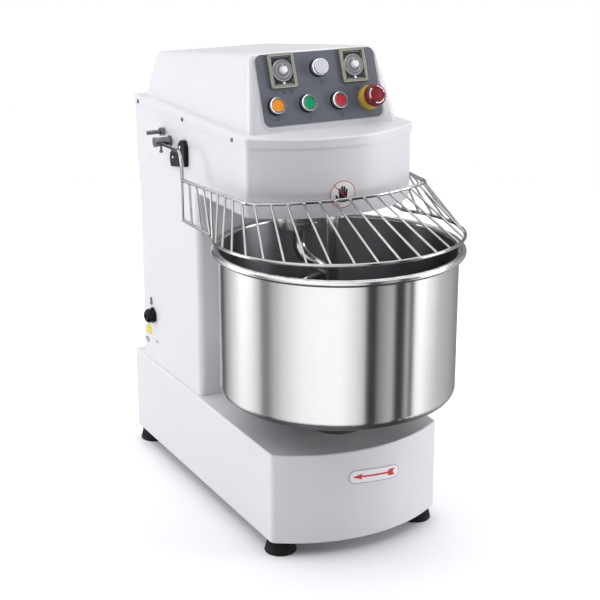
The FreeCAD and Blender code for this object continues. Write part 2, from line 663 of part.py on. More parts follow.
def make_bowl_drive():
    at = ("0", "dims.bowl_y")
    r = "dims.bowl_radius"
    w = "dims.bowl_wall"
    low = "dims.bowl_low"
    bowl = turned([("0", low), (r, low), (r, "dims.bowl_high"), (f"{r} - {w}", "dims.bowl_high"),
                   (f"{r} - {w}", f"{low} + {w}"), ("0", f"{low} + {w}")], *at)
    floor = size(low)
    round_edges(bowl, "dims.bowl_corner", lambda edge: edge.BoundBox.ZMax < floor + 0.1)
    round_edges(bowl, f"dims.bowl_corner - {w}",
                lambda edge: abs(edge.BoundBox.ZMax - floor - size(w)) < 0.1)
    keep(bowl, "mixing_bowl")

    rim = primitive("Torus", (*at, "dims.bowl_high"), Radius1=f"{r} + dims.rim_radius + 0.3",
                    Radius2="dims.rim_radius")
    keep(rim, "bowl_rim")
    shaft = "dims.bowl_shaft_radius"
    carrier = turned([("0", f"{low} - 14"), (shaft, f"{low} - 14"), (shaft, f"{low} - 26"),
                      ("44", f"{low} - 26"), ("52", f"{low} - 12"),
                      ("dims.carrier_radius", f"{low} - 12"), ("dims.carrier_radius", low), ("0", low)],
                     *at)
    keep(carrier, "bowl_carrier")
    keep(cylinder(shaft, f"{low} - 14 - 60", (*at, "60")), "bowl_shaft")
    pulley = v_pulley("dims.bowl_pulley_radius", "dims.bowl_belt_z", "34", shaft, *at)
    keep(lighten(pulley, "0", "dims.bowl_y", "dims.bowl_pulley_radius"), "bowl_pulley")

    housing = turned([("26.2", "126"), ("38", "126"), ("38", "180"), ("70", "180"), ("70", "186"),
                      ("44", "186"), ("44", "214"), ("26.2", "214")], *at)
    keep(housing, "bowl_bearing_housing")
    belt_shape = belt(("0", "dims.bowl_y", "dims.bowl_pulley_radius"),
                      ("0", "dims.transmission_y", "dims.low_pulley_radius"), "dims.bowl_belt_z")
    keep(belt_shape, "bowl_belt")


def make_transmission():
    at = ("0", "dims.transmission_y")
    shaft = "dims.transmission_radius"
    keep(cylinder(shaft, "620", (*at, "70")), "transmission_shaft")
    keep(v_pulley("dims.low_pulley_radius", "dims.bowl_belt_z", "16", shaft, *at), "lower_pulley")
    driven_pulley = v_pulley("dims.drive_pulley_radius", "dims.motor_belt_z", "26", shaft, *at)
    keep(lighten(driven_pulley, *at, "dims.drive_pulley_radius"), "drive_pulley")
    keep(v_pulley("dims.upper_pulley_radius", "dims.spiral_belt_z", "24", shaft, *at), "upper_pulley")
    blocks = []
    for z, span in (("120", "2 * (dims.base_half - dims.sheet_wall)"),
                    ("560", "2 * (dims.column_half - dims.sheet_wall)")):
        web = block(span, "50", "8", (*at, z))
        boss = cylinder("34", "24", (*at, f"{z} - 8"))
        blocks.append(cut(fuse(web, boss), cylinder("24", "40", (*at, f"{z} - 12"))))
    keep(group(*blocks), "transmission_brackets")
    motor = ("0", "dims.motor_y", "dims.motor_pulley_radius")
    driven = ("0", "dims.transmission_y", "dims.drive_pulley_radius")
    keep(belt(driven, motor, "dims.motor_belt_z"), "motor_belt")
    spiral = ("dims.spiral_x", "dims.spiral_y", "dims.spiral_pulley_radius")
    upper = ("0", "dims.transmission_y", "dims.upper_pulley_radius")
    keep(belt(upper, spiral, "dims.spiral_belt_z"), "spiral_belt")


def make_motor():
    at = ("0", "dims.motor_y")
    shell = cylinder("dims.motor_radius - 6", "200", (*at, "320"))
    fins = [cylinder("dims.motor_radius", "4", (*at, f"340 + {number} * 12")) for number in range(14)]
    bell = cylinder("dims.motor_radius - 2", "22", (*at, "520"))
    cowl = cylinder("dims.motor_radius", "36", (*at, "284"))
    hollow = cylinder("dims.motor_shaft_radius + 14", "240", (*at, "298"))
    exit_hole = cylinder("dims.motor_shaft_radius + dims.running_gap", "10", (*at, "535"))
    keep(cut(fuse(shell, bell, cowl, *fins), hollow, exit_hole), "motor_housing")
    plate = block("312", "150", "6", (*at, "542"))
    keep(cut(plate, cylinder("40", "10", (*at, "540")),
             block("150", "80", "10", ("0", "dims.motor_y - 98", "540"))), "motor_plate")
    rotor = fuse(cylinder("dims.motor_shaft_radius", "378", (*at, "300")),
                 cylinder("dims.motor_shaft_radius + 13", "120", (*at, "360")))
    keep(rotor, "motor_rotor")
    keep(v_pulley("dims.motor_pulley_radius", "dims.motor_belt_z", "15", "dims.motor_shaft_radius", *at),
         "motor_pulley")
    keep(block("62", "90", "140", ("-122", "225", "340")), "contactor_box")


def make_spiral_drive():
    at = ("dims.spiral_x", "dims.spiral_y")
    shaft = "dims.spiral_shaft_radius"
    keep(cylinder(shaft, "93", (*at, "549")), "spiral_shaft")
    keep(v_pulley("dims.spiral_pulley_radius", "dims.spiral_belt_z", "22", shaft, *at), "spiral_pulley")
    housing = turned([("26.2", "560"), ("34", "560"), ("34", "579"), ("56", "579"), ("56", "587"),
                      ("34", "587"), ("34", "604"), ("26.2", "604")], *at)
    keep(housing, "spiral_bearing_housing")
    flange = fuse(cylinder("43", "13", (*at, "545")), cylinder("40.5", "1", (*at, "544")),
                  cylinder("42", "11", (*at, "533")))
    keep(cut(flange, cylinder(shaft, "20", (*at, "549"))), "hook_flange")
    keep(feature(spiral_hook()), "spiral_hook")
    bearings = [bearing(shaft, "26.2", z, *at) for z in ("564", "588")]
    for z in ("128", "200"):
        bearings.append(bearing("dims.bowl_shaft_radius", "26.2", z, "0", "dims.bowl_y"))
    for z in ("116", "556"):
        bearings.append(bearing("dims.transmission_radius", "24", z, "0", "dims.transmission_y"))
    keep(group(*bearings), "bearings")
    bar = turned([("0", "270"), ("8", "270"), ("dims.bar_radius", "276"), ("dims.bar_radius", "571"),
                  ("24", "571"), ("24", "576.8"), ("0", "576.8")], "dims.bar_x", "dims.bowl_y")
    keep(bar, "centre_bar")


def spiral_hook():
    """Round bar that drops from the flange, then winds out in a helix to the bowl's floor."""
    bar_radius = size("dims.spiral_bar")
    wide = size("dims.spiral_sweep") - bar_radius
    top, bottom = 521.5, size("dims.bowl_low + dims.bowl_wall") + 8 + bar_radius
    start, turns, steps = math.radians(-148), 1.2, 18
    leaves_axis, fully_wide = 0.07, 0.44
    points = [V(0, 0, top + 12), V(0, 0, top + 6)]
    for step in range(steps + 1):
        share = step / steps
        angle = start + turns * math.tau * share
        opened = min(max((share - leaves_axis) / (fully_wide - leaves_axis), 0), 1)
        reach = wide * (1 - math.cos(math.pi * opened)) / 2
        points.append(V(reach * math.cos(angle), reach * math.sin(angle), top + (bottom - top) * share))
    spline = Part.BSplineCurve()
    spline.interpolate(points)
    start_tangent = spline.tangent(spline.FirstParameter)[0]
    path = Part.Wire([spline.toShape()])
    section = Part.Wire([Part.Circle(points[0], start_tangent, bar_radius).toShape()])
    bar = path.makePipeShell([section], True, False)
    hook = bar.fuse(Part.makeSphere(bar_radius, points[-1])).removeSplitter()
    hook.translate(V(size("dims.spiral_x"), size("dims.spiral_y"), 0))
    return hook


# ---------------------------------------------------------------- guard

def line(first, last):
    return Part.LineSegment(first, last).toShape()


def arc(first, middle, last):
    return Part.Arc(first, middle, last).toShape()


def swept_wire(edges, radius):
    """A round wire along a smooth chain of edges."""
    path = Part.Wire(edges)
    start = path.Edges[0]
    section = Part.Circle(start.valueAt(start.FirstParameter), start.tangentAt(start.FirstParameter),
                          radius)
    return path.makePipeShell([Part.Wire([section.toShape()])], True, True)


def straight_wire(first, last, radius):
    """A straight wire with a round knuckle at its first end."""
    wire = Part.makeCylinder(radius, (last - first).Length, first, last - first)
    return wire.fuse(Part.makeSphere(radius, first))


def bent(first, corner, last, radius):
    """Two straight runs joined by an arc that is tangent to both."""
    before, after = (corner - first).normalize(), (last - corner).normalize()
    half_turn = before.getAngle(after) / 2
    reach = radius * math.tan(half_turn)
    start, end = corner - before * reach, corner + after * reach
    inward = (after - before).normalize()
    centre = corner + inward * (radius / math.cos(half_turn))
    return [line(first, start), arc(start, centre - inward * radius, end), line(end, last)]


def point_along(edges, distance):
    """The point that lies a distance along a chain of edges."""
    for edge in edges:
        if distance <= edge.Length + 1e-6:
            return edge.valueAt(edge.getParameterByLength(min(distance, edge.Length)))
        distance -= edge.Length
    raise RuntimeError("past the end of the wire")


def lower_ring_path():
    """Round the bowl, then nearly straight back each side."""
    ring, side, bend = size("dims.guard_ring_radius"), size("dims.guard_low_side"), 40
    bend_y = math.sqrt((ring + bend) ** 2 - (side + bend) ** 2)
    share = ring / (ring + bend)
    half = []
    for sign in (-1, 1):
        straight_end = V(sign * side, bend_y, 0)
        ring_end = V(sign * (side + bend) * share, bend_y * share, 0)
        lean = math.atan2(bend_y - ring_end.y, side + bend - abs(ring_end.x)) / 2
        middle = V(sign * (side + bend - bend * math.cos(lean)), bend_y - bend * math.sin(lean), 0)
        half.append((straight_end, middle, ring_end))
    left, right = half
    edges = [arc(*left), arc(left[2], V(0, -ring, 0), right[2]), arc(right[2], right[1], right[0])]
    for edge in edges:
        edge.rotate(V(), V(1, 0, 0), -size("dims.guard_tilt"))
        edge.translate(V(0, size("dims.bowl_y"), size("dims.guard_low_z")))
    rear, end_z = size("dims.guard_rear"), size("dims.guard_end_z")
    left_end, right_end = V(-size("dims.guard_side"), rear, end_z), V(size("dims.guard_side"), rear, end_z)
    first, last = edges[0].valueAt(edges[0].FirstParameter), edges[2].valueAt(edges[2].LastParameter)
    return [line(left_end, first), *edges, line(last, right_end)]


def upper_ring_path():
    """Sides that close in towards a bowed front, with rounded corners."""
    side, corner, bow = size("dims.guard_side"), size("dims.guard_corner"), size("dims.guard_bow")
    front, rear, bend = size("dims.guard_front"), size("dims.guard_rear"), 24
    radius = (corner ** 2 + bow ** 2) / (2 * bow)
    centre, start = V(0, front + radius, 0), V(side, rear, 0)
    along = (V(corner, front + bow, 0) - start).normalize()
    inward = V(along.y, -along.x, 0) * bend
    apart = start + inward - centre
    run = math.sqrt(apart.dot(along) ** 2 - apart.Length ** 2 + (radius - bend) ** 2) - apart.dot(along)
    hub = start + inward + along * run
    side_end, bow_end = hub - inward, centre + (hub - centre) * (radius / (radius - bend))
    middle = hub + ((side_end + bow_end) * 0.5 - hub).normalize() * bend
    right = [start, side_end, middle, bow_end]
    left = [V(-point.x, point.y, 0) for point in right]
    edges = [line(left[0], left[1]), arc(left[1], left[2], left[3]),
             arc(left[3], V(0, front, 0), right[3]), arc(right[3], right[2], right[1]),
             line(right[1], right[0])]
    for edge in edges:
        edge.translate(V(0, 0, size("dims.guard_high_z")))
    return edges


def rod_ends(edges, shift, pitch):
    """Where the rods meet a ring: evenly across its front, then evenly to both of its ends."""
    front, side = int(size("dims.front_rods")), int(size("dims.side_rods"))
    total = sum(edge.Length for edge in edges)
    across = [total / 2 + shift + pitch * number for number in range(-front, front + 1)]
    left = [across[0] * number / side for number in range(side)]
    right = [across[-1] + (total - across[-1]) * number / side for number in range(1, side + 1)]
    return [point_along(edges, distance) for distance in left + across + right]


def guard_hinge(sign, side):
    """One side's hinge: the shaft on the guard's arm, its bush in the head and the stop pin."""
    minus = "-" if sign < 0 else ""
    turn = FACING[side]

    def at(x, y="dims.pivot_y", z="dims.pivot_z"):
        return (f"{minus}({x})", y, z)

    shaft = cylinder("dims.pivot_radius", "45", at("dims.column_half - 14"), turn)
    keeper = cylinder("12", "5.6", at("dims.column_half - 14"), turn)
    sleeve = cylinder("8", "23", at("dims.column_half + 4"), turn)
    flange = cylinder("9", "5", at("dims.column_half + 27"), turn)
    screw = cylinder("2.2", "16", at("dims.arm_x - 1", z="dims.pivot_z - 20"))
    screw_cap = cylinder("3.4", "4", at("dims.arm_x - 1", z="dims.pivot_z - 20"))
    pivot = fuse(shaft, keeper, sleeve, flange, screw, screw_cap)
    bore = cylinder("dims.pivot_radius + dims.running_gap", "20", at("dims.column_half - 9"), turn)
    bush = cut(cylinder("10", "10.5", at("dims.column_half - 8"), turn), bore)
    pin_at = at("dims.column_half", "dims.pivot_y + 30", "dims.pivot_z + 12")
    pin = fuse(cylinder("4", "33", pin_at, turn), cylinder("7.5", "8", pin_at, turn))
    return pivot, bush, pin


def make_guard():
    lower, upper = lower_ring_path(), upper_ring_path()
    ring_wire = size("dims.ring_wire")
    ring = swept_wire(lower[1:-1], ring_wire)
    for run in (lower[0], lower[-1]):
        rear, front = sorted((vertex.Point for vertex in run.Vertexes), key=lambda point: -point.y)
        ring = ring.fuse(straight_wire(front, rear, ring_wire))
    keep(feature(ring), "guard_lower_ring")
    keep(feature(swept_wire(upper, ring_wire)), "guard_upper_ring")
    ends = zip(rod_ends(upper, size("dims.rod_shift_high"), size("dims.rod_pitch_high")),
               rod_ends(lower, size("dims.rod_shift_low"), size("dims.rod_pitch_low")))
    rods = [Part.makeCylinder(size("dims.rod_wire"), (low - high).Length, high, low - high)
            for high, low in ends]
    keep(feature(Part.makeCompound(rods)), "guard_rods")

    arms = []
    for sign in (-1, 1):
        foot = V(sign * size("dims.guard_side"), size("dims.guard_rear"), size("dims.guard_high_z"))
        corner = V(foot.x, foot.y, size("dims.pivot_z + 8"))
        tail = V(sign * size("dims.arm_x"), size("dims.pivot_y - 4"), size("dims.pivot_z - 3"))
        arms.append(swept_wire(bent(foot, corner, tail, size("dims.arm_bend")), ring_wire))
    keep(feature(Part.makeCompound(arms)), "guard_arms")
    pivots, bushes, pins = zip(guard_hinge(-1, "left"), guard_hinge(1, "right"))
    keep(group(*pivots), "guard_pivots")
    keep(group(*bushes), "pivot_bushes")
    keep(group(*pins), "stop_pins")
    keep(group(guard_block(-1), guard_block(1)), "guard_switch_blocks")


def guard_block(sign):
    """Black block on the side of the head, beside the guard's arm."""
    body = new_body()
    start = "-dims.column_half - dims.block_depth" if sign < 0 else "dims.column_half"
    sketch = sketch_on(body, "YZ_Plane", start)
    polygon(sketch, [("100", "617"), ("164", "606"), ("168", "620"), ("166", "632"), ("155", "641"),
                     ("131", "643"), ("129", "653"), ("121", "662"), ("108", "663"), ("100", "654")])
    pad(body, sketch, "dims.block_depth")
    round_edges(body, "3.5", lambda edge: abs(edge.tangentAt(edge.FirstParameter).x) > 0.99)
    outer = size("dims.column_half + dims.block_depth")
    round_edges(body, "2.5", lambda edge: abs(abs(edge.CenterOfMass.x) - outer) < 0.01)
    return body


# ---------------------------------------------------------------- fittings

def make_gland():
    """Inlet gland for the mains cable, with its nut inside the column."""
    hexagon = primitive("Prism", ("0", "0", "0"), Polygon="6", Circumradius="16", Height="5")
    outside = fuse(hexagon, cylinder("13.5", "12", ("0", "0", "0")),
                   cone("13.5", "9.5", "5", ("0", "0", "12")), cylinder("10", "16", ("0", "0", "-16")))
    nut = cut(primitive("Prism", ("0", "0", "-8"), Polygon="6", Circumradius="16", Height="6"),
              cylinder("10", "10", ("0", "0", "-9")))
    gland = group(cut(outside, cylinder("5", "60", ("0", "0", "-20"))), nut)
    place(gland, "-dims.column_half", "dims.gland_y", "dims.gland_z", turn=FACING["left"])
    keep(gland, "cable_gland")


def bowed_plate(half, corner, front, outline):
    """A thin plate on a bowed front, with the outline's shape."""
    bow = f"({corner} - {front})"
    radius = f"(({half}^2 + {bow}^2) / (2 * {bow}))"
    at = ("0", f"{front} + {radius}", "0")
    skin = cut(cylinder(f"{radius} + 0.8", "800", at), cylinder(radius, "800", at))
    shape = doc.addObject("Part::MultiCommon", "Plate")
    shape.Shapes = [skin, outline]
    return shape


def make_plates():
    arrow = block("100", "60", "24", ("9", "dims.base_front + 20", "126.5"))
    keep(bowed_plate("dims.base_half", "dims.base_corner", "dims.base_front", arrow), "arrow_plate")
    disc = cylinder("24", "60", ("-11", "dims.head_front + 40", "614"), ((1, 0, 0), 90))
    keep(bowed_plate("dims.column_half", "dims.head_corner", "dims.head_front", disc), "warning_plate")


def drill_cover():
    """Cut the controls' holes through the top cover."""
    cover = parts[[part.Label for part in parts].index("top_cover")]
    parts.remove(cover)
    cover.Label = "cover_moulding"
    keep(cut(cover, on_panel(control_holes())), "top_cover")


def build_all():
    make_base()
    make_feet()
    make_column()
    make_head()
    make_top_cover()
    make_cover_screws()
    make_controls()
    drill_cover()
    make_bowl_drive()
    make_transmission()
    make_motor()
    make_spiral_drive()
    make_guard()
    make_gland()
    make_plates()


build_all()
doc.recompute()
os.makedirs("parts", exist_ok=True)
for obj in doc.Objects:
    if "Invalid" in obj.State or "Error" in obj.State:
        raise RuntimeError(f"{obj.Label} failed: {obj.State}")
for part in parts:
    shape = part.Shape
    if shape.isNull() or not shape.isValid():
        raise RuntimeError(f"{part.Label} is not a valid solid")
    shape.exportStep(f"parts/{part.Label}.step")
    print(part.Label, len(shape.Solids), round(shape.Volume / 1000, 1))
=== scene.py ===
"""Studio scene of a spiral dough mixer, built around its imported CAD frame."""
import json
import math
import random

import bmesh
import bpy
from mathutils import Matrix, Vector


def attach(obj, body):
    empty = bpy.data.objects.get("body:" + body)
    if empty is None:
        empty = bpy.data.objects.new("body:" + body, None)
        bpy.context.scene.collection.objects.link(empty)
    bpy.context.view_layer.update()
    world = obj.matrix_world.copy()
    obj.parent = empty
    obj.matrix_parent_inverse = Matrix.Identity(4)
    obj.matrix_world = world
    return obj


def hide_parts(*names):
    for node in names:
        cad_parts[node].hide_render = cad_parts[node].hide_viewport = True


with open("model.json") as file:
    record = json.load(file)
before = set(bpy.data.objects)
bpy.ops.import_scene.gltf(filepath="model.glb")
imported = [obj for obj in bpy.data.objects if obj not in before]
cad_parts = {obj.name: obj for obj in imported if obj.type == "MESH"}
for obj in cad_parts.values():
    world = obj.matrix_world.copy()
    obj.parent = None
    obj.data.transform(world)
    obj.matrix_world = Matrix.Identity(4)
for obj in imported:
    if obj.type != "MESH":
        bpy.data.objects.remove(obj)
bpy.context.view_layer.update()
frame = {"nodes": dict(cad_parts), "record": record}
nodes = frame["nodes"]
MM = 0.001
BOWL_AXIS = Vector((0.0, -0.163, 0.0))
random.seed(7)


# ------------------------------------------------------------------ camera and studio

def link(thing):
    """Puts a new object in the scene."""
    bpy.context.scene.collection.objects.link(thing)
    return thing


def make_camera():
    """A long lens in front of the machine and towards -X, looking slightly down."""
    azimuth, elevation = math.radians(-28.0), math.radians(17.8)
    distance = 2.709
    target = Vector((0.0325, 0.037, 0.3579))
    away = Vector((math.sin(azimuth) * math.cos(elevation), -math.cos(azimuth) * math.cos(elevation),
                   math.sin(elevation)))
    data = bpy.data.cameras.new("camera")
    data.lens, data.sensor_width = 87.77, 36.0
    camera = bpy.data.objects.new("camera", data)
    camera.location = target + away * distance
    camera.rotation_euler = (-away).to_track_quat("-Z", "Y").to_euler()
    bpy.context.scene.camera = link(camera)


def area_light(name, place, aim, size, watts):
    """A square soft light, which the camera doesn't see."""
    data = bpy.data.lights.new(name, "AREA")
    data.shape = "SQUARE"
    data.size, data.energy = size, watts
    light = bpy.data.objects.new(name, data)
    light.location = place
    light.rotation_euler = (Vector(aim) - Vector(place)).to_track_quat("-Z", "Y").to_euler()
    light.visible_camera = False
    link(light)


def stage_mesh(name, places, faces, material):
    """A piece of the studio: a plain mesh with one material."""
    mesh = bpy.data.meshes.new(name)
    mesh.from_pydata(places, [], faces)
    mesh.materials.append(material)
    return link(bpy.data.objects.new(name, mesh))


def seen_only_by(thing, kind):
    """Hides a studio piece from every kind of ray but one."""
    for ray in ("camera", "diffuse", "glossy", "transmission", "shadow"):
        setattr(thing, "visible_" + ray, ray == kind)


def glowing(name, attribute=None):
    """A material that only gives off light: white, or as strong as a mesh attribute says."""
    material = bpy.data.materials.new(name)
    material.use_nodes = True
    tree = material.node_tree
    tree.nodes.clear()
    strength = 1.0
    if attribute:
        strength = node(tree, "Attribute", attribute_name=attribute).outputs["Fac"]
    emit = node(tree, "Emission", {"Strength": strength})
    node(tree, "OutputMaterial", {"Surface": emit.outputs["Emission"]})
    return material


def make_floor():
    """A pale plain floor that runs far behind the machine."""
    reach = 40
    corners = [(-reach, -reach, 0), (reach, -reach, 0), (reach, reach, 0), (-reach, reach, 0)]
    material = bpy.data.materials.new("pale_floor")
    material.use_nodes = True
    shader = material.node_tree.nodes["Principled BSDF"]
    shader.inputs["Base Color"].default_value = (0.92, 0.915, 0.96, 1)
    shader.inputs["Roughness"].default_value = 0.8
    shader.inputs["Specular IOR Level"].default_value = 0.0
    floor = stage_mesh("floor", corners, [(0, 1, 2, 3)], material)
    floor.visible_glossy = False
    return floor


# Brightness of the cards round the machine, by azimuth in degrees: 0 is in front of it, 90 at its +X side.
# The bowl mirrors them: a bright run shows as a light band on it and a dark run as a dark band. The
# values were listed from readings of the photograph's brightness along one line of the bowl.
CARD_BRIGHTNESS = [
    (-180, 0.1), (-172, 0.12), (-165, 0.4), (-147, 1.05), (-133, 1.4), (-116, 1.15), (-109, 0.9), (-105, 0.3),
    (-98, 0.3), (-94, 0.6), (-80, 1.1), (-63, 1.5), (-45, 1.6), (-25, 1.6), (-14, 1.25), (-5, 0.9),
    (-2, 0.06), (6, 0.04), (8, 0.3), (23, 0.75), (26, 0.04), (35, 0.03), (37, 0.75), (40, 0.75),
    (41, 0.02), (45.6, 0.03), (47, 1.45), (55, 1.5), (64, 1.1), (76, 0.8), (99, 0.6), (125, 0.3), (180, 0.3)]


def card_at(azimuth):
    """The cards' brightness at an azimuth, straight between the listed ones."""
    for (a, low), (b, high) in zip(CARD_BRIGHTNESS, CARD_BRIGHTNESS[1:]):
        if a <= azimuth <= b:
            return low + (high - low) * (azimuth - a) / (b - a)
    return CARD_BRIGHTNESS[-1][1]


def make_cards():
    """Bright and black cards standing in a ring, which only reflections see."""
    radius, below, above = 7.0, -5.0, 6.0
    places, glow = [], []
    turns = range(-180, 181)
    for azimuth in turns:
        a = math.radians(azimuth)
        for z in (below, above):
            places.append((BOWL_AXIS.x + radius * math.sin(a), BOWL_AXIS.y - radius * math.cos(a), z))
            glow.append(card_at(azimuth))
    faces = [(2 * i, 2 * i + 2, 2 * i + 3, 2 * i + 1) for i in range(len(turns) - 1)]
    cards = stage_mesh("reflection_cards", places, faces, glowing("card_glow", "glow"))
    cards.data.attributes.new("glow", "FLOAT", "POINT").data.foreach_set("value", glow)
    seen_only_by(cards, "glossy")
    return cards


def make_backdrop():
    """White paper that starts well away from the machine and rises into a wall; only the camera sees it."""
    near, far, lift, height, steps = 2.6, 9.0, 0.002, 14.0, 96
    profile = [(near, lift), (far, lift), (far, height)]
    turns = [2 * math.pi * i / steps for i in range(steps)]
    places = [(reach * math.cos(a), reach * math.sin(a), z) for reach, z in profile for a in turns]
    faces = [(ring + i, ring + (i + 1) % steps, ring + steps + (i + 1) % steps, ring + steps + i)
             for ring in (0, steps) for i in range(steps)]
    wall = stage_mesh("backdrop", places, faces, glowing("backdrop_white"))
    seen_only_by(wall, "camera")
    return wall


def make_studio():
    """A dim world, the floor, cards and backdrop, a wide light overhead and a soft light at each side."""
    bpy.context.scene.view_settings.view_transform = "Standard"
    world = bpy.data.worlds.new("studio")
    bpy.context.scene.world = world
    world.use_nodes = True
    background = world.node_tree.nodes["Background"]
    background.inputs["Color"].default_value = (0.96, 0.97, 1.0, 1)
    background.inputs["Strength"].default_value = 0.05
    make_floor()
    make_cards()
    make_backdrop()
    area_light("ceiling", (0, 4.0, 4.5), (0, 4.0, 0), 15, 1190)
    area_light("left_softbox", (-3.2, 2.0, 0.8), (0, 0.1, 0.35), 1.5, 50)
    area_light("right_softbox", (3.0, -1.9, 1.0), (0, -0.1, 0.35), 1.6, 62)


# ------------------------------------------------------------------ procedural materials

MIX_FIRST, MIX_SECOND, MIX_RESULT = 6, 7, 2    # a Mix node's colour sockets, by number


def node(tree, kind, inputs=None, **settings):
    """A shader node with its settings, and its inputs set or linked by name."""
    made = tree.nodes.new("ShaderNode" + kind)
    for key, value in settings.items():
        setattr(made, key, value)
    for key, value in (inputs or {}).items():
        if isinstance(value, bpy.types.NodeSocket):
            tree.links.new(value, made.inputs[key])
        else:
            made.inputs[key].default_value = value
    return made


def maths(tree, operation, a, b=0.0):
    """One sum on shader values."""
    return node(tree, "Math", {0: a, 1: b}, operation=operation).outputs[0]


def start(name, metallic=0.0, specular=0.5, coat=0.0, coat_roughness=0.1):
    """A new material, its tree, its main shader and its object coordinates."""
    material = bpy.data.materials.new(name)
    material.use_nodes = True
    tree = material.node_tree
    shader = tree.nodes["Principled BSDF"]
    shader.inputs["Metallic"].default_value = metallic
    shader.inputs["Specular IOR Level"].default_value = specular
    shader.inputs["Coat Weight"].default_value = coat
    shader.inputs["Coat Roughness"].default_value = coat_roughness
    place = node(tree, "TexCoord").outputs["Object"]
    return material, tree, shader, place


def noise(tree, place, scale, detail=3.0, roughness=0.55):
    """Even noise, from 0 to 1; a larger scale is finer."""
    return node(tree, "TexNoise", {"Vector": place, "Scale": scale, "Detail": detail,
                                   "Roughness": roughness}).outputs["Fac"]


def spread(tree, value, low, high):
    """A noise's middle range, stretched to run from low to high."""
    return node(tree, "MapRange", {"Value": value, "From Min": 0.3, "From Max": 0.7,
                                   "To Min": low, "To Max": high}).outputs["Result"]


def tint(tree, value, dark, light):
    """A colour that runs from dark to light with a value."""
    ramp = node(tree, "ValToRGB", {"Fac": value})
    ramp.color_ramp.elements[0].position, ramp.color_ramp.elements[1].position = 0.3, 0.7
    ramp.color_ramp.elements[0].color = (*dark, 1)
    ramp.color_ramp.elements[1].color = (*light, 1)
    return ramp.outputs["Color"]


def bump(tree, shader, value, depth, strength):
    """Raises a surface by a value times a depth in metres."""
    made = node(tree, "Bump", {"Height": value, "Distance": depth, "Strength": strength})
    tree.links.new(made.outputs["Normal"], shader.inputs["Normal"])


def scaled(colour, by):
    """A colour made lighter or darker, never past white."""
    return tuple(min(1.0, c * by) for c in colour)


def painted(name, colour):
    """Powder coat: fine orange peel, a slightly uneven gloss and the faintest mottling."""
    material, tree, shader, place = start(name, coat=0.25, coat_roughness=0.18)
    mottle = noise(tree, place, 9.0, 4.0)
    tree.links.new(tint(tree, mottle, scaled(colour, 0.975), colour), shader.inputs["Base Color"])
    tree.links.new(spread(tree, noise(tree, place, 22.0, 5.0), 0.34, 0.46), shader.inputs["Roughness"])
    bump(tree, shader, noise(tree, place, 620.0, 2.0), 0.00006, 0.5)
    return material


def turned_steel(name, colour, centre, roughness, inner=0.0):
    """Stainless steel with fine lines brushed round a vertical axis; inside a radius it is duller, and its
    colour is darkened there as painted shade.
    """
    line_length, line_pitch = 1.4, 1500.0
    # Inside the radius the colour takes darker tones as painted shade for the bowl's hollow; the dulling
    # there is roughness.
    painted_shade_dark, painted_shade_light, inner_dulling = (0.275, 0.26, 0.285), (0.33, 0.315, 0.34), 0.18
    material, tree, shader, place = start(name, metallic=1.0)
    local = node(tree, "VectorMath", {0: place, 1: tuple(-c for c in centre)}, operation="ADD").outputs[0]
    parts = node(tree, "SeparateXYZ", {"Vector": local}).outputs
    angle = maths(tree, "ARCTAN2", parts["Y"], parts["X"])
    reach = maths(tree, "SQRT", maths(tree, "ADD", maths(tree, "MULTIPLY", parts["X"], parts["X"]),
                                      maths(tree, "MULTIPLY", parts["Y"], parts["Y"])))
    lines = node(tree, "CombineXYZ", {"X": maths(tree, "MULTIPLY", angle, line_length),
                                      "Y": maths(tree, "MULTIPLY", reach, line_pitch),
                                      "Z": maths(tree, "MULTIPLY", parts["Z"], line_pitch)}).outputs[0]
    streak = noise(tree, lines, 1.0, 4.0, 0.7)
    broad = noise(tree, place, 14.0, 3.0)
    outside = maths(tree, "GREATER_THAN", reach, inner)
    # The mix puts painted shade into the colour inside the radius.
    shade = node(tree, "Mix", {"Factor": outside, MIX_FIRST: tint(tree, streak, painted_shade_dark, painted_shade_light),
                               MIX_SECOND: tint(tree, streak, scaled(colour, 0.96), colour)},
                 data_type="RGBA")
    tree.links.new(shade.outputs[MIX_RESULT], shader.inputs["Base Color"])
    rough = maths(tree, "ADD", spread(tree, streak, roughness - 0.015, roughness + 0.02),
                  spread(tree, broad, -0.01, 0.015))
    inside = maths(tree, "SUBTRACT", 1.0, outside)
    rough = maths(tree, "ADD", rough, maths(tree, "MULTIPLY", inside, inner_dulling))
    tree.links.new(rough, shader.inputs["Roughness"])
    shader.inputs["Anisotropic"].default_value = 0.85
    shader.inputs["Anisotropic Rotation"].default_value = 0.25
    tangent = node(tree, "Tangent", direction_type="RADIAL", axis="Z").outputs[0]
    tree.links.new(tangent, shader.inputs["Tangent"])
    bump(tree, shader, streak, 0.00001, 0.12)
    return material


def drawn_steel(name, colour, roughness, grain=(60.0, 60.0, 60.0), depth=0.00002):
    """Drawn or ground steel: blotchy gloss with fine grain along one direction."""
    material, tree, shader, place = start(name, metallic=1.0)
    stretched = node(tree, "Mapping", {"Vector": place, "Scale": grain}).outputs[0]
    fine = noise(tree, stretched, 12.0, 5.0, 0.65)
    broad = noise(tree, place, 40.0, 3.0)
    tree.links.new(tint(tree, broad, scaled(colour, 0.82), colour), shader.inputs["Base Color"])
    tree.links.new(spread(tree, fine, roughness - 0.07, roughness + 0.08), shader.inputs["Roughness"])
    bump(tree, shader, fine, depth, 0.5)
    return material


def zinc(name, colour):
    """Zinc plate: faint crystals, each with its own tone."""
    material, tree, shader, place = start(name, metallic=1.0)
    cells = node(tree, "TexVoronoi", {"Vector": place, "Scale": 160.0})
    tone = node(tree, "RGBToBW", {"Color": cells.outputs["Color"]}).outputs[0]
    tree.links.new(tint(tree, tone, scaled(colour, 0.8), colour), shader.inputs["Base Color"])
    tree.links.new(spread(tree, noise(tree, place, 90.0, 4.0), 0.28, 0.42), shader.inputs["Roughness"])
    bump(tree, shader, noise(tree, place, 500.0, 3.0), 0.00003, 0.4)
    return material


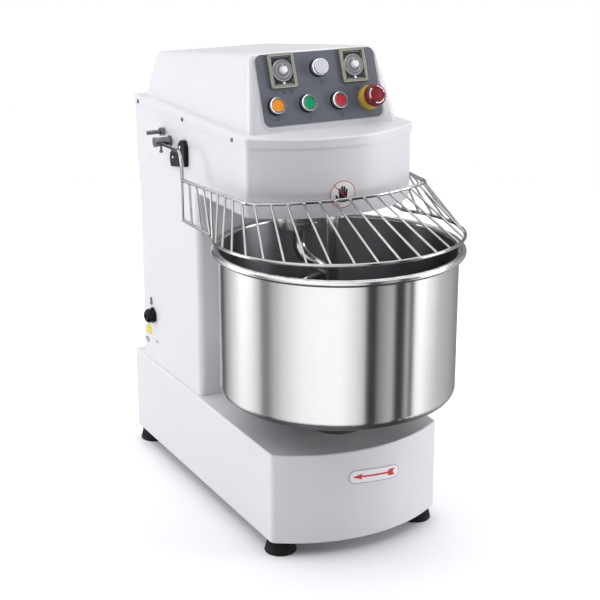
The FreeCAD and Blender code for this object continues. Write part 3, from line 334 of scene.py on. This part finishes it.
def cast(name, colour):
    """Sand-cast iron with its skin painted over."""
    material, tree, shader, place = start(name, metallic=0.35)
    grit = noise(tree, place, 380.0, 6.0, 0.7)
    tree.links.new(tint(tree, grit, scaled(colour, 0.7), scaled(colour, 1.2)), shader.inputs["Base Color"])
    tree.links.new(spread(tree, noise(tree, place, 60.0), 0.45, 0.65), shader.inputs["Roughness"])
    bump(tree, shader, grit, 0.00025, 0.6)
    return material


def moulded(name, colour, roughness, coat=0.0, grain=500.0, depth=0.00004, dark=0.9, specular=0.5):
    """Moulded plastic or rubber: a fine tool texture and small changes of tone."""
    material, tree, shader, place = start(name, specular=specular, coat=coat, coat_roughness=0.08)
    tree.links.new(tint(tree, noise(tree, place, 55.0, 4.0), scaled(colour, dark), colour),
                   shader.inputs["Base Color"])
    tree.links.new(spread(tree, noise(tree, place, 130.0, 4.0), roughness - 0.05, roughness + 0.06),
                   shader.inputs["Roughness"])
    bump(tree, shader, noise(tree, place, grain, 3.0), depth, 0.5)
    return material


def make_materials():
    """Every finish, by the record's slot or by the name that a piece asks for."""
    bowl_wall_middle = 0.2031
    return {
        "white_paint": painted("white_powder_coat", (0.69, 0.685, 0.72)),
        "stainless": turned_steel("brushed_stainless", (0.62, 0.62, 0.615), BOWL_AXIS, 0.22),
        # The bowl's steel has painted shade on its inner face, darker inside the wall's middle radius.
        "bowl_steel": turned_steel("bowl_stainless_painted_shade", (0.62, 0.62, 0.62), BOWL_AXIS, 0.185,
                                   bowl_wall_middle),
        "guard_wire": drawn_steel("bright_wire", (0.41, 0.41, 0.41), 0.11),
        "dark_steel": drawn_steel("dark_steel", (0.21, 0.21, 0.225), 0.22),
        "zinc_steel": zinc("zinc_plate", (0.66, 0.67, 0.69)),
        "cast_iron": cast("painted_iron", (0.13, 0.13, 0.14)),
        "aluminium": drawn_steel("cast_aluminium", (0.68, 0.68, 0.70), 0.42, depth=0.00005),
        "rubber": moulded("black_rubber", (0.012, 0.012, 0.013), 0.62, grain=900.0, depth=0.00008, dark=0.7,
                          specular=0.15),
        "belt_rubber": moulded("belt_rubber", (0.03, 0.03, 0.032), 0.7, grain=1200.0, depth=0.0001, dark=0.6),
        "black_plastic": moulded("black_plastic", (0.006, 0.006, 0.007), 0.3, dark=0.75, specular=0.16),
        "panel_grey": moulded("panel_film", (0.115, 0.125, 0.155), 0.42, grain=1400.0, depth=0.00003,
                              dark=0.94),
        "timer_tan": moulded("timer_tan", (0.33, 0.325, 0.255), 0.34, 0.1, dark=0.88),
        "timer_lip": moulded("timer_lip", (0.50, 0.49, 0.42), 0.28, 0.2, dark=0.9),
        "knob_white": moulded("knob_white", (0.90, 0.90, 0.90), 0.3, 0.2, dark=0.97),
        "orange_plastic": moulded("orange_plastic", (0.95, 0.32, 0.02), 0.25, 0.4, dark=0.86),
        "green_plastic": moulded("green_plastic", (0.0, 0.33, 0.14), 0.25, 0.4, dark=0.82),
        "red_plastic": moulded("red_plastic", (0.50, 0.025, 0.045), 0.3, 0.2, dark=0.85),
        "stop_red": moulded("stop_red", (0.17, 0.002, 0.008), 0.28, dark=0.7, specular=0.4),
        "yellow_plastic": moulded("yellow_plastic", (0.62, 0.40, 0.05), 0.36, dark=0.88),
        "hazard_yellow": moulded("hazard_ink", (0.86, 0.74, 0.05), 0.4, dark=0.93),
        "cap_white": moulded("cap_white", (0.66, 0.65, 0.72), 0.36, 0.1, dark=0.97),
        "label_white": moulded("label_vinyl", (0.84, 0.83, 0.85), 0.4, 0.1, dark=0.97),
        "wire_bar": drawn_steel("polished_bar", (0.64, 0.64, 0.635), 0.16, (30.0, 30.0, 4.0)),
        "chrome": drawn_steel("satin_chrome", (0.82, 0.82, 0.84), 0.22),
        "ink_red": moulded("red_ink", (0.62, 0.03, 0.04), 0.4, dark=0.85),
        "ink_dark": moulded("dark_ink", (0.018, 0.018, 0.02), 0.42, dark=0.7, specular=0.25),
        "ink_outline": moulded("outline_ink", (0.13, 0.11, 0.12), 0.42, dark=0.8),
        "dial_clear": moulded("smoked_dial", (0.25, 0.255, 0.27), 0.14, 0.6, dark=0.8),
        "dial_ring": moulded("dial_ring", (0.42, 0.43, 0.46), 0.16, 0.7, dark=0.9),
        "window": moulded("dial_window", (0.05, 0.052, 0.055), 0.2, 0.5, dark=0.7),
        "estop_disc": moulded("stop_disc", (0.24, 0.007, 0.018), 0.4, dark=0.8, specular=0.3),
    }


# ------------------------------------------------------------------ shapes

SHARP_ANGLE = 38    # degrees, past which a shaded edge stays sharp

# The middle of the control panel's foot, and its lean: 45 mm back in a rise of 126 mm.
PANEL_ORIGIN = Vector((0.0, -0.119, 0.710))
PANEL_LEAN = math.atan(45 / 126)
PANEL_UP = Vector((0.0, math.sin(PANEL_LEAN), math.cos(PANEL_LEAN)))
PANEL_OUT = Vector((0.0, -math.cos(PANEL_LEAN), math.sin(PANEL_LEAN)))


# Bow radius and foremost y of the two bowed fronts, and x of the column's side, in millimetres.
BASE_FRONT = (284.6, -281.8)
HEAD_FRONT = (229.6, -196.8)
COLUMN_SIDE = -158


def on_panel(x, t, h):
    """The point x across, t up the slope and h out from the control panel, all in millimetres."""
    return PANEL_ORIGIN + Vector((x * MM, 0, 0)) + PANEL_UP * (t * MM) + PANEL_OUT * (h * MM)


def panel_at(x0, t0):
    """A mapping of shapes about a point of the panel."""
    return lambda x, y, h: on_panel(x0 + x, t0 + y, h)


def on_front(bow_radius, front, x0, z0):
    """A mapping of shapes onto a bowed front face: x across, y up and h out, in millimetres."""
    def place(x, y, h):
        across = x0 + x
        depth = front + bow_radius - math.sqrt(bow_radius ** 2 - across ** 2)
        return Vector((across, depth - h, z0 + y)) * MM
    return place


def on_side(y0, z0):
    """A mapping onto the column's side at -X, which the camera sees; x runs to the front."""
    return lambda x, y, h: Vector((COLUMN_SIDE - h, y0 - x, z0 + y)) * MM


def plate_shape(bm, outline, place, low, high, step=4.0, index=0):
    """Adds a thin plate with this outline, bent to lie where place puts it."""
    flat = bmesh.new()
    flat.faces.new([flat.verts.new((x, y, 0)) for x, y in outline])
    bmesh.ops.triangulate(flat, faces=flat.faces[:])
    left, right = min(x for x, y in outline), max(x for x, y in outline)
    cuts = max(1, int((right - left) / step))
    for i in range(1, cuts):
        bmesh.ops.bisect_plane(flat, geom=flat.verts[:] + flat.edges[:] + flat.faces[:],
                               plane_co=(left + (right - left) * i / cuts, 0, 0), plane_no=(1, 0, 0))
    bmesh.ops.recalc_face_normals(flat, faces=flat.faces[:])
    if flat.faces[:] and flat.faces[0].normal.z < 0:
        bmesh.ops.reverse_faces(flat, faces=flat.faces[:])
    solid = bmesh.ops.extrude_face_region(flat, geom=flat.faces[:])
    top = [v for v in solid["geom"] if isinstance(v, bmesh.types.BMVert)]
    for v in top:
        v.co.z = 1.0
    bmesh.ops.recalc_face_normals(flat, faces=flat.faces[:])
    join(bm, flat, lambda v: place(v.co.x, v.co.y, high if v.co.z > 0.5 else low), index)
    flat.free()


def join(bm, other, where, index=0):
    """Copies a mesh into another, each vertex put where the function says."""
    made = {v: bm.verts.new(where(v)) for v in other.verts}
    for face in other.faces:
        copy = bm.faces.new([made[v] for v in face.verts])
        copy.material_index = index


def ribbon(bm, path, width, place, low, high, closed=False, index=0):
    """Adds a thin strip of even width along a path in the plane."""
    count = len(path)
    rows = []
    for i, (x, y) in enumerate(path):
        before = path[(i - 1) % count] if closed or i else path[i]
        after = path[(i + 1) % count] if closed or i < count - 1 else path[i]
        run = Vector((after[0] - before[0], after[1] - before[1])).normalized()
        side = Vector((-run.y, run.x)) * (width / 2)
        rows.append([bm.verts.new(place(x + sign * side.x, y + sign * side.y, h))
                     for sign, h in ((-1, low), (1, low), (1, high), (-1, high))])
    pairs = list(zip(rows, rows[1:])) + ([(rows[-1], rows[0])] if closed else [])
    for a, b in pairs:
        for k in range(4):
            face = bm.faces.new((a[k], b[k], b[(k + 1) % 4], a[(k + 1) % 4]))
            face.material_index = index
    if not closed:
        bm.faces.new(rows[0]).material_index = index
        bm.faces.new(rows[-1][::-1]).material_index = index


def arc_points(radius, start_at, end_at, steps, x0=0.0, y0=0.0):
    """Points along an arc, in degrees anticlockwise from +x."""
    turns = [math.radians(start_at + (end_at - start_at) * i / steps) for i in range(steps + 1)]
    return [(x0 + radius * math.cos(a), y0 + radius * math.sin(a)) for a in turns]


def circle_points(radius, steps):
    """Points round a circle, as a closed outline."""
    return arc_points(radius, 0, 360, steps)[:-1]


def spoke(angle, inner, outer):
    """The two ends of a short radial line, at an angle in degrees."""
    a = math.radians(angle)
    return [(inner * math.cos(a), inner * math.sin(a)), (outer * math.cos(a), outer * math.sin(a))]


def rounded_box(half_x, half_y, corner):
    """The outline of a rectangle with round corners, anticlockwise."""
    outline = []
    for sx, sy, first in ((1, -1, -90), (1, 1, 0), (-1, 1, 90), (-1, -1, 180)):
        outline += arc_points(corner, first, first + 90, 6, sx * (half_x - corner), sy * (half_y - corner))
    return outline


def dense(path, step, closed=True):
    """A path with extra points, so that it can follow a curved face."""
    points = []
    for (x0, y0), (x1, y1) in zip(path, path[1:] + (path[:1] if closed else [])):
        parts = max(1, int(math.hypot(x1 - x0, y1 - y0) / step))
        points += [(x0 + (x1 - x0) * k / parts, y0 + (y1 - y0) * k / parts) for k in range(parts)]
    if not closed:
        points.append(path[-1])
    return [p for p, q in zip(points, points[1:] + points[:1]) if math.dist(p, q) > 1e-6]


def lathe(bm, profile, place, steps=64, wave=None):
    """Turns a profile of (radius, height, index) about the local axis.

    An entry's index is the material of the band between it and the entry before. wave scales the
    radius by angle and height.
    """
    rings = []
    for r, h, index in profile:
        if r == 0:
            rings.append([bm.verts.new(place(0, 0, h))])
            continue
        ring = []
        for i in range(steps):
            a = 2 * math.pi * i / steps
            reach = r * (wave(a, h) if wave else 1.0)
            ring.append(bm.verts.new(place(reach * math.cos(a), reach * math.sin(a), h)))
        rings.append(ring)
    for (low, high), (r, h, index) in zip(zip(rings, rings[1:]), profile[1:]):
        for i in range(steps):
            j = (i + 1) % steps
            if len(low) == 1:
                face = bm.faces.new((low[0], high[j], high[i]))
            elif len(high) == 1:
                face = bm.faces.new((low[i], low[j], high[0]))
            else:
                face = bm.faces.new((low[i], low[j], high[j], high[i]))
            face.material_index = index


def screw_head(bm, place, radius, height):
    """A domed screw head with a hexagon socket."""
    socket = radius * 0.42
    profile = [(radius, -0.2, 0), (radius, height * 0.35, 0), (radius * 0.93, height * 0.7, 0),
               (radius * 0.7, height * 0.95, 0), (socket, height, 0), (socket * 0.98, height * 0.3, 0),
               (0, height * 0.25, 0)]
    lathe(bm, profile, place, steps=24)


def finish_shape(bm, name, body, slot, *materials, smooth=True):
    """Makes a finished shape a piece of the machine, with its materials, that rides on a body."""
    bmesh.ops.recalc_face_normals(bm, faces=bm.faces[:])
    mesh = bpy.data.meshes.new(name)
    bm.to_mesh(mesh)
    bm.free()
    for material in materials:
        mesh.materials.append(MATERIALS[material])
    if smooth:
        mesh.shade_smooth()
        mesh.set_sharp_from_angle(angle=math.radians(SHARP_ANGLE))
    piece = link(bpy.data.objects.new(name, mesh))
    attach(piece, body)
    return piece


def islands(mesh):
    """The separate solids of a mesh, each as a list of its vertices' places."""
    bm = bmesh.new()
    bm.from_mesh(mesh)
    bmesh.ops.remove_doubles(bm, verts=bm.verts[:], dist=1e-6)
    seen, found = set(), []
    for v in bm.verts:
        if v in seen:
            continue
        group, queue = [], [v]
        seen.add(v)
        while queue:
            at = queue.pop()
            group.append(at.co.copy())
            for edge in at.link_edges:
                other = edge.other_vert(at)
                if other not in seen:
                    seen.add(other)
                    queue.append(other)
        found.append(group)
    bm.free()
    return found


# ------------------------------------------------------------------ guard

def rod_ends(points):
    """The middles of a thin rod's two ends, lowest first."""
    top = max(points, key=lambda p: p.z).z
    low = min(points, key=lambda p: p.z).z
    ends, reach = [], 0.003
    for level in (low, top):
        near = [p for p in points if abs(p.z - level) < reach]
        ends.append(sum(near, Vector()) / len(near))
    return ends


def make_welds():
    """A small puddle of weld where each rod meets the two rings, longer along the rod."""
    inset, radius, stretch = 2.2 * MM, 2.75 * MM, 0.35
    bm = bmesh.new()
    for points in islands(nodes["guard_rods"].data):
        low, high = rod_ends(points)
        along = (high - low).normalized()
        for end, sign in ((low, 1), (high, -1)):
            bead = bmesh.ops.create_icosphere(bm, subdivisions=2, radius=1.0)["verts"]
            centre = end + along * (sign * inset)
            for v in bead:
                size = radius * random.uniform(0.93, 1.05)
                v.co = centre + v.co * size + along * (v.co.dot(along) * size * stretch)
    finish_shape(bm, "guard_welds", "guard", "guard_wire", "guard_wire")


# ------------------------------------------------------------------ control panel

# Places on the panel, across and up its slope, in millimetres.
BUTTONS = {"orange": (-88.5, 44), "green": (-29.5, 44), "red": (29.5, 44)}
WHITE_AT = (0, 102)
TIMERS = {"left": (-68, 102), "right": (68, 102)}
STOP_AT = (88.5, 44)


def make_buttons():
    """Dished lens caps in satin rings on black gaskets."""
    for colour, (x, t) in BUTTONS.items():
        bm = bmesh.new()
        lathe(bm, [(0, 6.2, 0), (10.4, 6.2, 0), (10.45, 10.6, 0), (10.2, 11.3, 0), (9.7, 11.45, 0),
                   (9.2, 11.3, 0), (8.8, 10.75, 0), (6.0, 10.6, 0), (3.0, 10.5, 0), (0, 10.48, 0)],
              panel_at(x, t))
        cap = finish_shape(bm, colour + "_lens", colour + "_button", colour + "_plastic",
                           colour + "_plastic")
        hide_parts(colour + "_button")
    bm = bmesh.new()
    lathe(bm, [(0, 6.2, 0), (10.4, 6.2, 0), (10.4, 16.3, 0), (12.6, 16.3, 1), (13.0, 16.5, 1),
               (13.1, 17.3, 1), (12.8, 17.8, 1), (12.2, 18.1, 1), (11.7, 18.05, 1), (11.4, 17.7, 0),
               (11.1, 17.7, 0), (10.9, 18.0, 0), (8.0, 18.15, 0), (0, 18.2, 0)], panel_at(*WHITE_AT))
    cap = finish_shape(bm, "white_cap", "white_button", "knob_white", "cap_white", "knob_white")
    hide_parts("white_button")
    bm = bmesh.new()
    for x, t in [*BUTTONS.values(), WHITE_AT]:
        lathe(bm, [(14.02, 1.55, 0), (15.2, 1.55, 0), (15.35, 2.3, 0), (15.0, 3.3, 0), (14.02, 3.5, 0)],
              panel_at(x, t))
    finish_shape(bm, "button_gaskets", "machine", "black_plastic", "black_plastic")


def make_stop_button():
    """The mushroom head with its turning arrows, and rings on its yellow collar."""
    crown = [(0, 19.6, 0), (16.0, 19.6, 0), (18.2, 20.6, 0), (19.4, 22.4, 0), (19.7, 25.0, 0),
             (19.6, 27.4, 0), (19.0, 29.4, 0), (17.8, 31.1, 0), (16.1, 32.4, 0), (13.8, 33.2, 0),
             (11.4, 33.5, 0), (11.0, 33.3, 0), (10.7, 32.7, 1), (10.3, 32.7, 1), (10.0, 33.2, 1),
             (6.0, 33.7, 1), (0, 33.9, 1)]
    bm = bmesh.new()
    lathe(bm, crown, panel_at(*STOP_AT), steps=72)
    head = finish_shape(bm, "stop_mushroom", "estop_head", "red_plastic", "stop_red", "estop_disc")
    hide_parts("estop_head")
    slope = sorted((r, h) for r, h, _ in crown[6:12])

    def on_crown(x, y, h):
        """A point over the crown, h above its surface."""
        reach, crown_height = math.hypot(x, y), slope[0][1]
        for (r0, h0), (r1, h1) in zip(slope, slope[1:]):
            if r0 <= reach <= r1:
                crown_height = h0 + (h1 - h0) * (reach - r0) / (r1 - r0)
                break
        return on_panel(STOP_AT[0] + x, STOP_AT[1] + y, crown_height + h)

    radius, sweep, tip = 14.2, 62, 14
    bm = bmesh.new()
    for turn in (20, 140, 260):
        ribbon(bm, arc_points(radius, turn, turn + sweep, 14), 1.7, on_crown, -0.15, 0.14)
        head_points = [(radius, turn - tip), (15.9, turn), (radius, turn + 2), (12.3, turn)]
        outline = [(r * math.cos(math.radians(a)), r * math.sin(math.radians(a))) for r, a in head_points]
        plate_shape(bm, outline, on_crown, -0.15, 0.15, 1.5)
    finish_shape(bm, "stop_arrows", "estop_head", "knob_white", "knob_white", smooth=False)
    bm = bmesh.new()
    lathe(bm, [(19.4, 7.5, 0), (20.2, 7.4, 0), (20.6, 7.9, 0), (20.4, 8.5, 0), (19.4, 8.7, 0)],
          panel_at(*STOP_AT), steps=96)
    for k in range(24):
        ribbon(bm, spoke(15 * k, 17.2, 18.6), 0.8, panel_at(*STOP_AT), 9.4, 10.6)
    finish_shape(bm, "collar_bead", "machine", "yellow_plastic", "yellow_plastic")


def make_timers():
    """Smoked dials with a ringed hub and a ribbed white knob, over dark scale windows."""
    for side, (x, t) in TIMERS.items():
        place = panel_at(x, t)
        bm = bmesh.new()
        lathe(bm, [(0, 4.6, 0), (18.1, 4.6, 0), (18.4, 5.0, 1), (18.3, 6.3, 1), (17.9, 6.6, 1),
                   (17.2, 6.5, 1), (16.8, 6.1, 0), (12.8, 6.0, 0), (12.4, 6.3, 1), (12.1, 7.6, 1),
                   (11.5, 7.9, 1), (10.6, 7.8, 0), (6.4, 8.0, 0), (6.1, 8.0, 2), (5.9, 9.0, 2),
                   (5.6, 14.0, 2), (5.1, 14.8, 2), (4.3, 15.0, 2), (0, 14.8, 2)], place, steps=72,
              wave=lambda a, h: 1.0 + (0.035 * math.cos(18 * a) if 8.5 < h < 14.5 else 0.0))
        plate_shape(bm, [(-0.5, 6.5), (0.5, 6.5), (0.5, 10.6), (-0.5, 10.6)], place, 7.7, 8.2, index=2)
        for k in range(24):
            ribbon(bm, spoke(15 * k, 14.6 if k % 2 else 13.8, 16.4), 0.4, place, 5.9, 6.15, index=1)
        knob = finish_shape(bm, side + "_timer_dial", side + "_timer", "knob_white", "dial_clear",
                            "dial_ring", "knob_white")
        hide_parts(side + "_timer_knob")
    bm = bmesh.new()
    for x, t in TIMERS.values():
        place = panel_at(x, t)
        plate_shape(bm, rounded_box(18.9, 24.2, 0.8), place, 3.9, 4.25, 50)
        for sign in (-1, 1):
            ribbon(bm, [(-16.8, sign * 22.6), (16.8, sign * 22.6)], 0.8, place, 4.2, 4.5, index=2)
            ribbon(bm, [(sign * 17.4, -21.4), (sign * 17.4, -15.0)], 0.7, place, 4.2, 4.5, index=2)
            ribbon(bm, [(sign * 17.4, 15.0), (sign * 17.4, 21.4)], 0.7, place, 4.2, 4.5, index=2)
        lathe(bm, [(2.5, 4.2, 2), (2.5, 5.2, 2), (2.1, 5.8, 1), (1.2, 6.3, 1), (0, 6.4, 1)],
              panel_at(x, t - 21.3), steps=20)
    finish_shape(bm, "timer_windows", "machine", "black_plastic", "window", "knob_white", "dial_ring",
                 smooth=False)
    bm = bmesh.new()
    for x, t in TIMERS.values():
        ribbon(bm, rounded_box(19.8, 25.1, 1.4), 1.0, panel_at(x, t), 6.3, 7.1, closed=True)
        ribbon(bm, rounded_box(23.1, 28.1, 3.6), 1.0, panel_at(x, t), 6.2, 6.9, closed=True)
        ribbon(bm, rounded_box(24.3, 29.3, 4.2), 0.9, panel_at(x, t), 1.4, 1.9, closed=True, index=1)
    finish_shape(bm, "timer_lips", "machine", "timer_tan", "timer_lip", "ink_dark", smooth=False)


def make_panel_surround():
    """The low raised line moulded in the cover round the control panel."""
    side, corner, foot, first, top, spacing = 117.0, 16.0, 6, 24, 122, 7
    half_face, taper, edge = 131.0, 0.172, 12.0

    def on_dome(x, t, h):
        """Over the sloping face, and round its upright edges where the dome narrows."""
        past = max(0.0, abs(x) - (half_face - taper * t))
        return on_panel(x, t, h - edge + math.sqrt(edge ** 2 - past ** 2))

    rise = [(side, t) for t in range(first, top + 1, spacing)]
    half = arc_points(corner, 270, 360, 8, side - corner, foot + corner) + rise
    path = [(-x, t) for x, t in half[::-1]] + half
    bm = bmesh.new()
    ribbon(bm, path, 2.0, on_dome, -0.6, 0.5)
    ribbon(bm, path, 1.0, on_dome, 0.45, 0.85)
    finish_shape(bm, "panel_surround", "machine", "white_paint", "white_paint")


def make_panel_marks():
    """Small plain symbols printed under the controls, with no lettering."""
    bm = bmesh.new()
    low, high = 1.48, 1.6

    def ring(x, t, radius, width=0.8):
        ribbon(bm, circle_points(radius, 28), width, panel_at(x, t), low, high, closed=True)

    def bar(x, t, points, width=0.9):
        ribbon(bm, points, width, panel_at(x, t), low, high)

    bar(5, 78, [(-2.6, 1.5), (-2.6, -1.5)])
    bar(5, 78, [(-0.9, 2.2), (-0.9, -2.2)])
    bar(5, 78, [(0.8, 2.2), (2.6, -2.2)])
    ring(-56, 66, 2.6)
    bar(-56, 66, [(0, 0), (0, 1.8)], 0.6)
    bar(-69, 66, [(-3.2, -0.8), (-1.2, 1.2), (0.8, -0.8), (2.8, 1.2)])
    bar(-69, 66, [(-3.2, -2.4), (2.8, -2.4)], 0.7)
    bar(68.6, 62.6, [(-4, 0), (-1.4, 0)])
    ring(68.6 + 1.8, 62.6, 2.3)
    for dx in (-2.4, 0.2, 2.8):
        bar(-89.5 + dx, 21.7, [(-0.6, -2), (0.6, 2)])
    bar(-28, 19.6, arc_points(2.8, 60, 330, 20), 0.7)
    ring(33, 19.3, 3.2, 0.7)
    bar(33, 19.3, [(0, -1.2), (0, 1.6)], 0.6)
    finish_shape(bm, "panel_marks", "machine", "black_plastic", "ink_dark", smooth=False)


# ------------------------------------------------------------------ signs and small parts

def make_arrow_sign():
    """A red arrow in a thin outline on the base's front plate."""
    flat = on_front(*BASE_FRONT, 9, 138.5)
    lean = math.radians(-4.5)

    def place(x, y, h):
        return flat(x * math.cos(lean) - y * math.sin(lean), x * math.sin(lean) + y * math.cos(lean), h)

    bm = bmesh.new()
    plate_shape(bm, rounded_box(50.5, 12.6, 11.0), place, -0.6, 0.0, 3.0)
    plate = finish_shape(bm, "arrow_label", "machine", "label_white", "label_white", smooth=False)
    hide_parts("arrow_plate")
    bm = bmesh.new()
    ribbon(bm, dense(rounded_box(49.4, 11.6, 10.6), 4.0), 0.9, place, -0.05, 0.08, closed=True, index=1)
    for part in ([(-44, 0), (-25, -5.6), (-27.5, -1.5), (-27.5, 1.5), (-25, 5.6)],
                 [(-28, -1.5), (26, -1.7), (26, 1.7), (-28, 1.5)],
                 [(25, -1.7), (29, -6.2), (41, -6.2), (36.5, 0), (24, 0)],
                 [(25, 1.7), (24, 0), (36.5, 0), (41, 6.2), (29, 6.2)]):
        plate_shape(bm, part, place, -0.05, 0.12, 3.0)
    finish_shape(bm, "arrow_print", "machine", "label_white", "ink_red", "ink_outline", smooth=False)


def make_hand_sign():
    """A plain open hand in a thin crossed ring on the head's front."""
    place = on_front(*HEAD_FRONT, -11, 614)
    fingers = [(-5.7, -2, 10.5, -0.9), (-1.9, -1, 14.2, -0.2), (1.9, -1, 13.2, 0.3), (5.6, -2, 9.0, 1.0)]
    bm = bmesh.new()
    ribbon(bm, circle_points(22.6, 72), 1.5, place, -0.05, 0.1, closed=True)
    palm = rounded_box(7.4, 7.2, 3.5)
    plate_shape(bm, [(x, y - 6.2) for x, y in palm], place, -0.05, 0.14, index=1)
    for x, y0, y1, tilt in fingers:
        finger = rounded_box(1.8, (y1 - y0) / 2, 1.7)
        middle = (y0 + y1) / 2
        plate_shape(bm, [(x + u + tilt * (v / (y1 - y0) + 0.5), middle + v) for u, v in finger], place,
                    -0.05, 0.14, index=1)
    thumb = [(-6.4, -10.5), (-8.6, -4.6), (-12.6, -0.2), (-14.2, -1.2), (-13.4, -4.2), (-10.2, -9.0),
             (-6.8, -12.4)]
    plate_shape(bm, thumb, place, -0.05, 0.14, index=1)
    s = 21.9 * math.cos(math.radians(45))
    ribbon(bm, dense([(-s, s), (s, -s)], 3.0, closed=False), 1.3, place, 0.0, 0.2)
    finish_shape(bm, "hand_print", "machine", "label_white", "ink_red", "ink_dark", smooth=False)


def make_side_marks():
    """The clip, the yellow warning triangle, the earth mark and the screw low on the column's side."""
    bm = bmesh.new()
    plate_shape(bm, rounded_box(3.2, 7.6, 2.8), on_side(295, 312), -0.2, 2.0, 50)
    finish_shape(bm, "cable_clip", "machine", "zinc_steel", "dark_steel")
    place = on_side(312, 251.5)
    bm = bmesh.new()
    rim = [(0, 13.0), (-19.0, -10.5), (19.0, -10.5)]
    trim, inner = 0.12, 0.86
    soft = []
    for (x0, y0), (x1, y1), (x2, y2) in zip(rim[-1:] + rim[:-1], rim, rim[1:] + rim[:1]):
        soft += [(x1 + (x0 - x1) * trim, y1 + (y0 - y1) * trim),
                 (x1 + (x2 - x1) * trim, y1 + (y2 - y1) * trim)]
    plate_shape(bm, soft, place, -0.1, 0.2, 50)
    ribbon(bm, [(x * inner, y * inner - 0.2) for x, y in soft], 0.9, place, 0.15, 0.28, closed=True, index=1)
    bolt = [(1.2, 5.6), (-2.4, -0.4), (-0.2, -0.2), (-1.6, -6.0), (2.4, 1.0), (0.2, 0.8)]
    plate_shape(bm, bolt, place, 0.15, 0.3, 50, index=1)
    finish_shape(bm, "hazard_label", "machine", "yellow_plastic", "hazard_yellow", "ink_dark", smooth=False)
    place = on_side(319, 225.5)
    bm = bmesh.new()
    for k in range(3):
        ribbon(bm, [(-19.0 + 4.6 * k, -2.4), (-16.6 + 4.6 * k, 2.4)], 1.8, place, -0.1, 0.15)
    ribbon(bm, circle_points(5.2, 32), 1.2, place, -0.1, 0.15, closed=True)
    ribbon(bm, [(0, 3.6), (0, 0.2)], 0.9, place, -0.1, 0.15)
    for half, y in ((3.2, 0), (2.1, -1.4), (1.0, -2.8)):
        ribbon(bm, [(-half, y), (half, y)], 0.8, place, -0.1, 0.16)
    finish_shape(bm, "earth_mark", "machine", "black_plastic", "ink_dark", smooth=False)
    bm = bmesh.new()
    screw_head(bm, on_side(271, 236), 4.2, 1.8)
    finish_shape(bm, "side_screw", "machine", "zinc_steel", "zinc_steel")


def make_block_screws():
    """The fixing screws of the two guard switch blocks."""
    face = 165.9
    bm = bmesh.new()
    for sign in (-1, 1):
        for y, z, radius in ((120, 649, 3.4), (152, 625, 2.6)):
            def place(u, v, h, sign=sign, y=y, z=z):
                return Vector((sign * (face + h), y + u, z + v)) * MM
            screw_head(bm, place, radius, 1.2)
    finish_shape(bm, "block_screws", "machine", "zinc_steel", "chrome")


def make_flange_bolts():
    """Hexagon bolts that hold the hook's flange, seen from below."""
    centre_x, centre_y, underside, radius = -22, -63, 533, 31
    bm = bmesh.new()
    for k in range(4):
        a = math.radians(45 + 90 * k)
        x0, y0 = centre_x + radius * math.cos(a), centre_y + radius * math.sin(a)

        def place(u, v, h, x0=x0, y0=y0):
            return Vector((x0 + u, y0 + v, underside - h)) * MM

        plate_shape(bm, circle_points(4.6, 6), place, -0.1, 2.9, 50)
        lathe(bm, [(5.2, -0.1, 0), (5.2, 0.5, 0), (4.2, 0.6, 0)], place, steps=32)
    finish_shape(bm, "flange_bolts", "spiral", "stainless", "chrome")


def make_feet():
    """Ribbed rubber feet that swell towards the floor."""
    half_width, front, rear = 137, -210, 352
    bm = bmesh.new()
    for x in (-half_width, half_width):
        for y in (front, rear):
            def place(u, v, h, x=x, y=y):
                return Vector((x + u, y + v, h)) * MM
            lathe(bm, [(0, 27, 0), (21.6, 27, 0), (22.8, 26.0, 0), (23.2, 22.5, 0), (22.2, 21.0, 0),
                       (22.4, 19.6, 0), (24.2, 18.6, 0), (24.6, 15.2, 0), (23.6, 13.8, 0), (23.9, 12.4, 0),
                       (25.7, 11.4, 0), (26.3, 8.0, 0), (25.3, 6.6, 0), (25.8, 5.4, 0), (27.6, 4.2, 0),
                       (28.0, 1.4, 0), (27.2, 0.15, 0), (9, 0.15, 0), (8.6, 3.2, 0), (0, 3.2, 0)], place, 56)
    feet = finish_shape(bm, "ribbed_feet", "machine", "rubber", "rubber")
    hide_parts("rubber_feet")


# ------------------------------------------------------------------ the scene

# CAD nodes whose finish isn't their slot's own. The cover screws are zinc; the darker steel they take is
# painted shade.
OWN_FINISH = {"mixing_bowl": "bowl_steel", "centre_bar": "wire_bar", "spiral_hook": "wire_bar",
              "hook_flange": "wire_bar", "button_bezels": "chrome", "cover_screws": "dark_steel"}


def finish_cad_nodes():
    """Gives every CAD node its material."""
    for item in frame["record"]["subparts"]:
        finishes = nodes[item["node"]].data.materials
        finishes.clear()
        finishes.append(MATERIALS[OWN_FINISH.get(item["node"], item["material_slot"])])


make_camera()
make_studio()
MATERIALS = make_materials()
finish_cad_nodes()
make_welds()
make_buttons()
make_stop_button()
make_timers()
make_panel_surround()
make_panel_marks()
make_arrow_sign()
make_hand_sign()
make_side_marks()
make_block_screws()
make_flange_bolts()
make_feet()
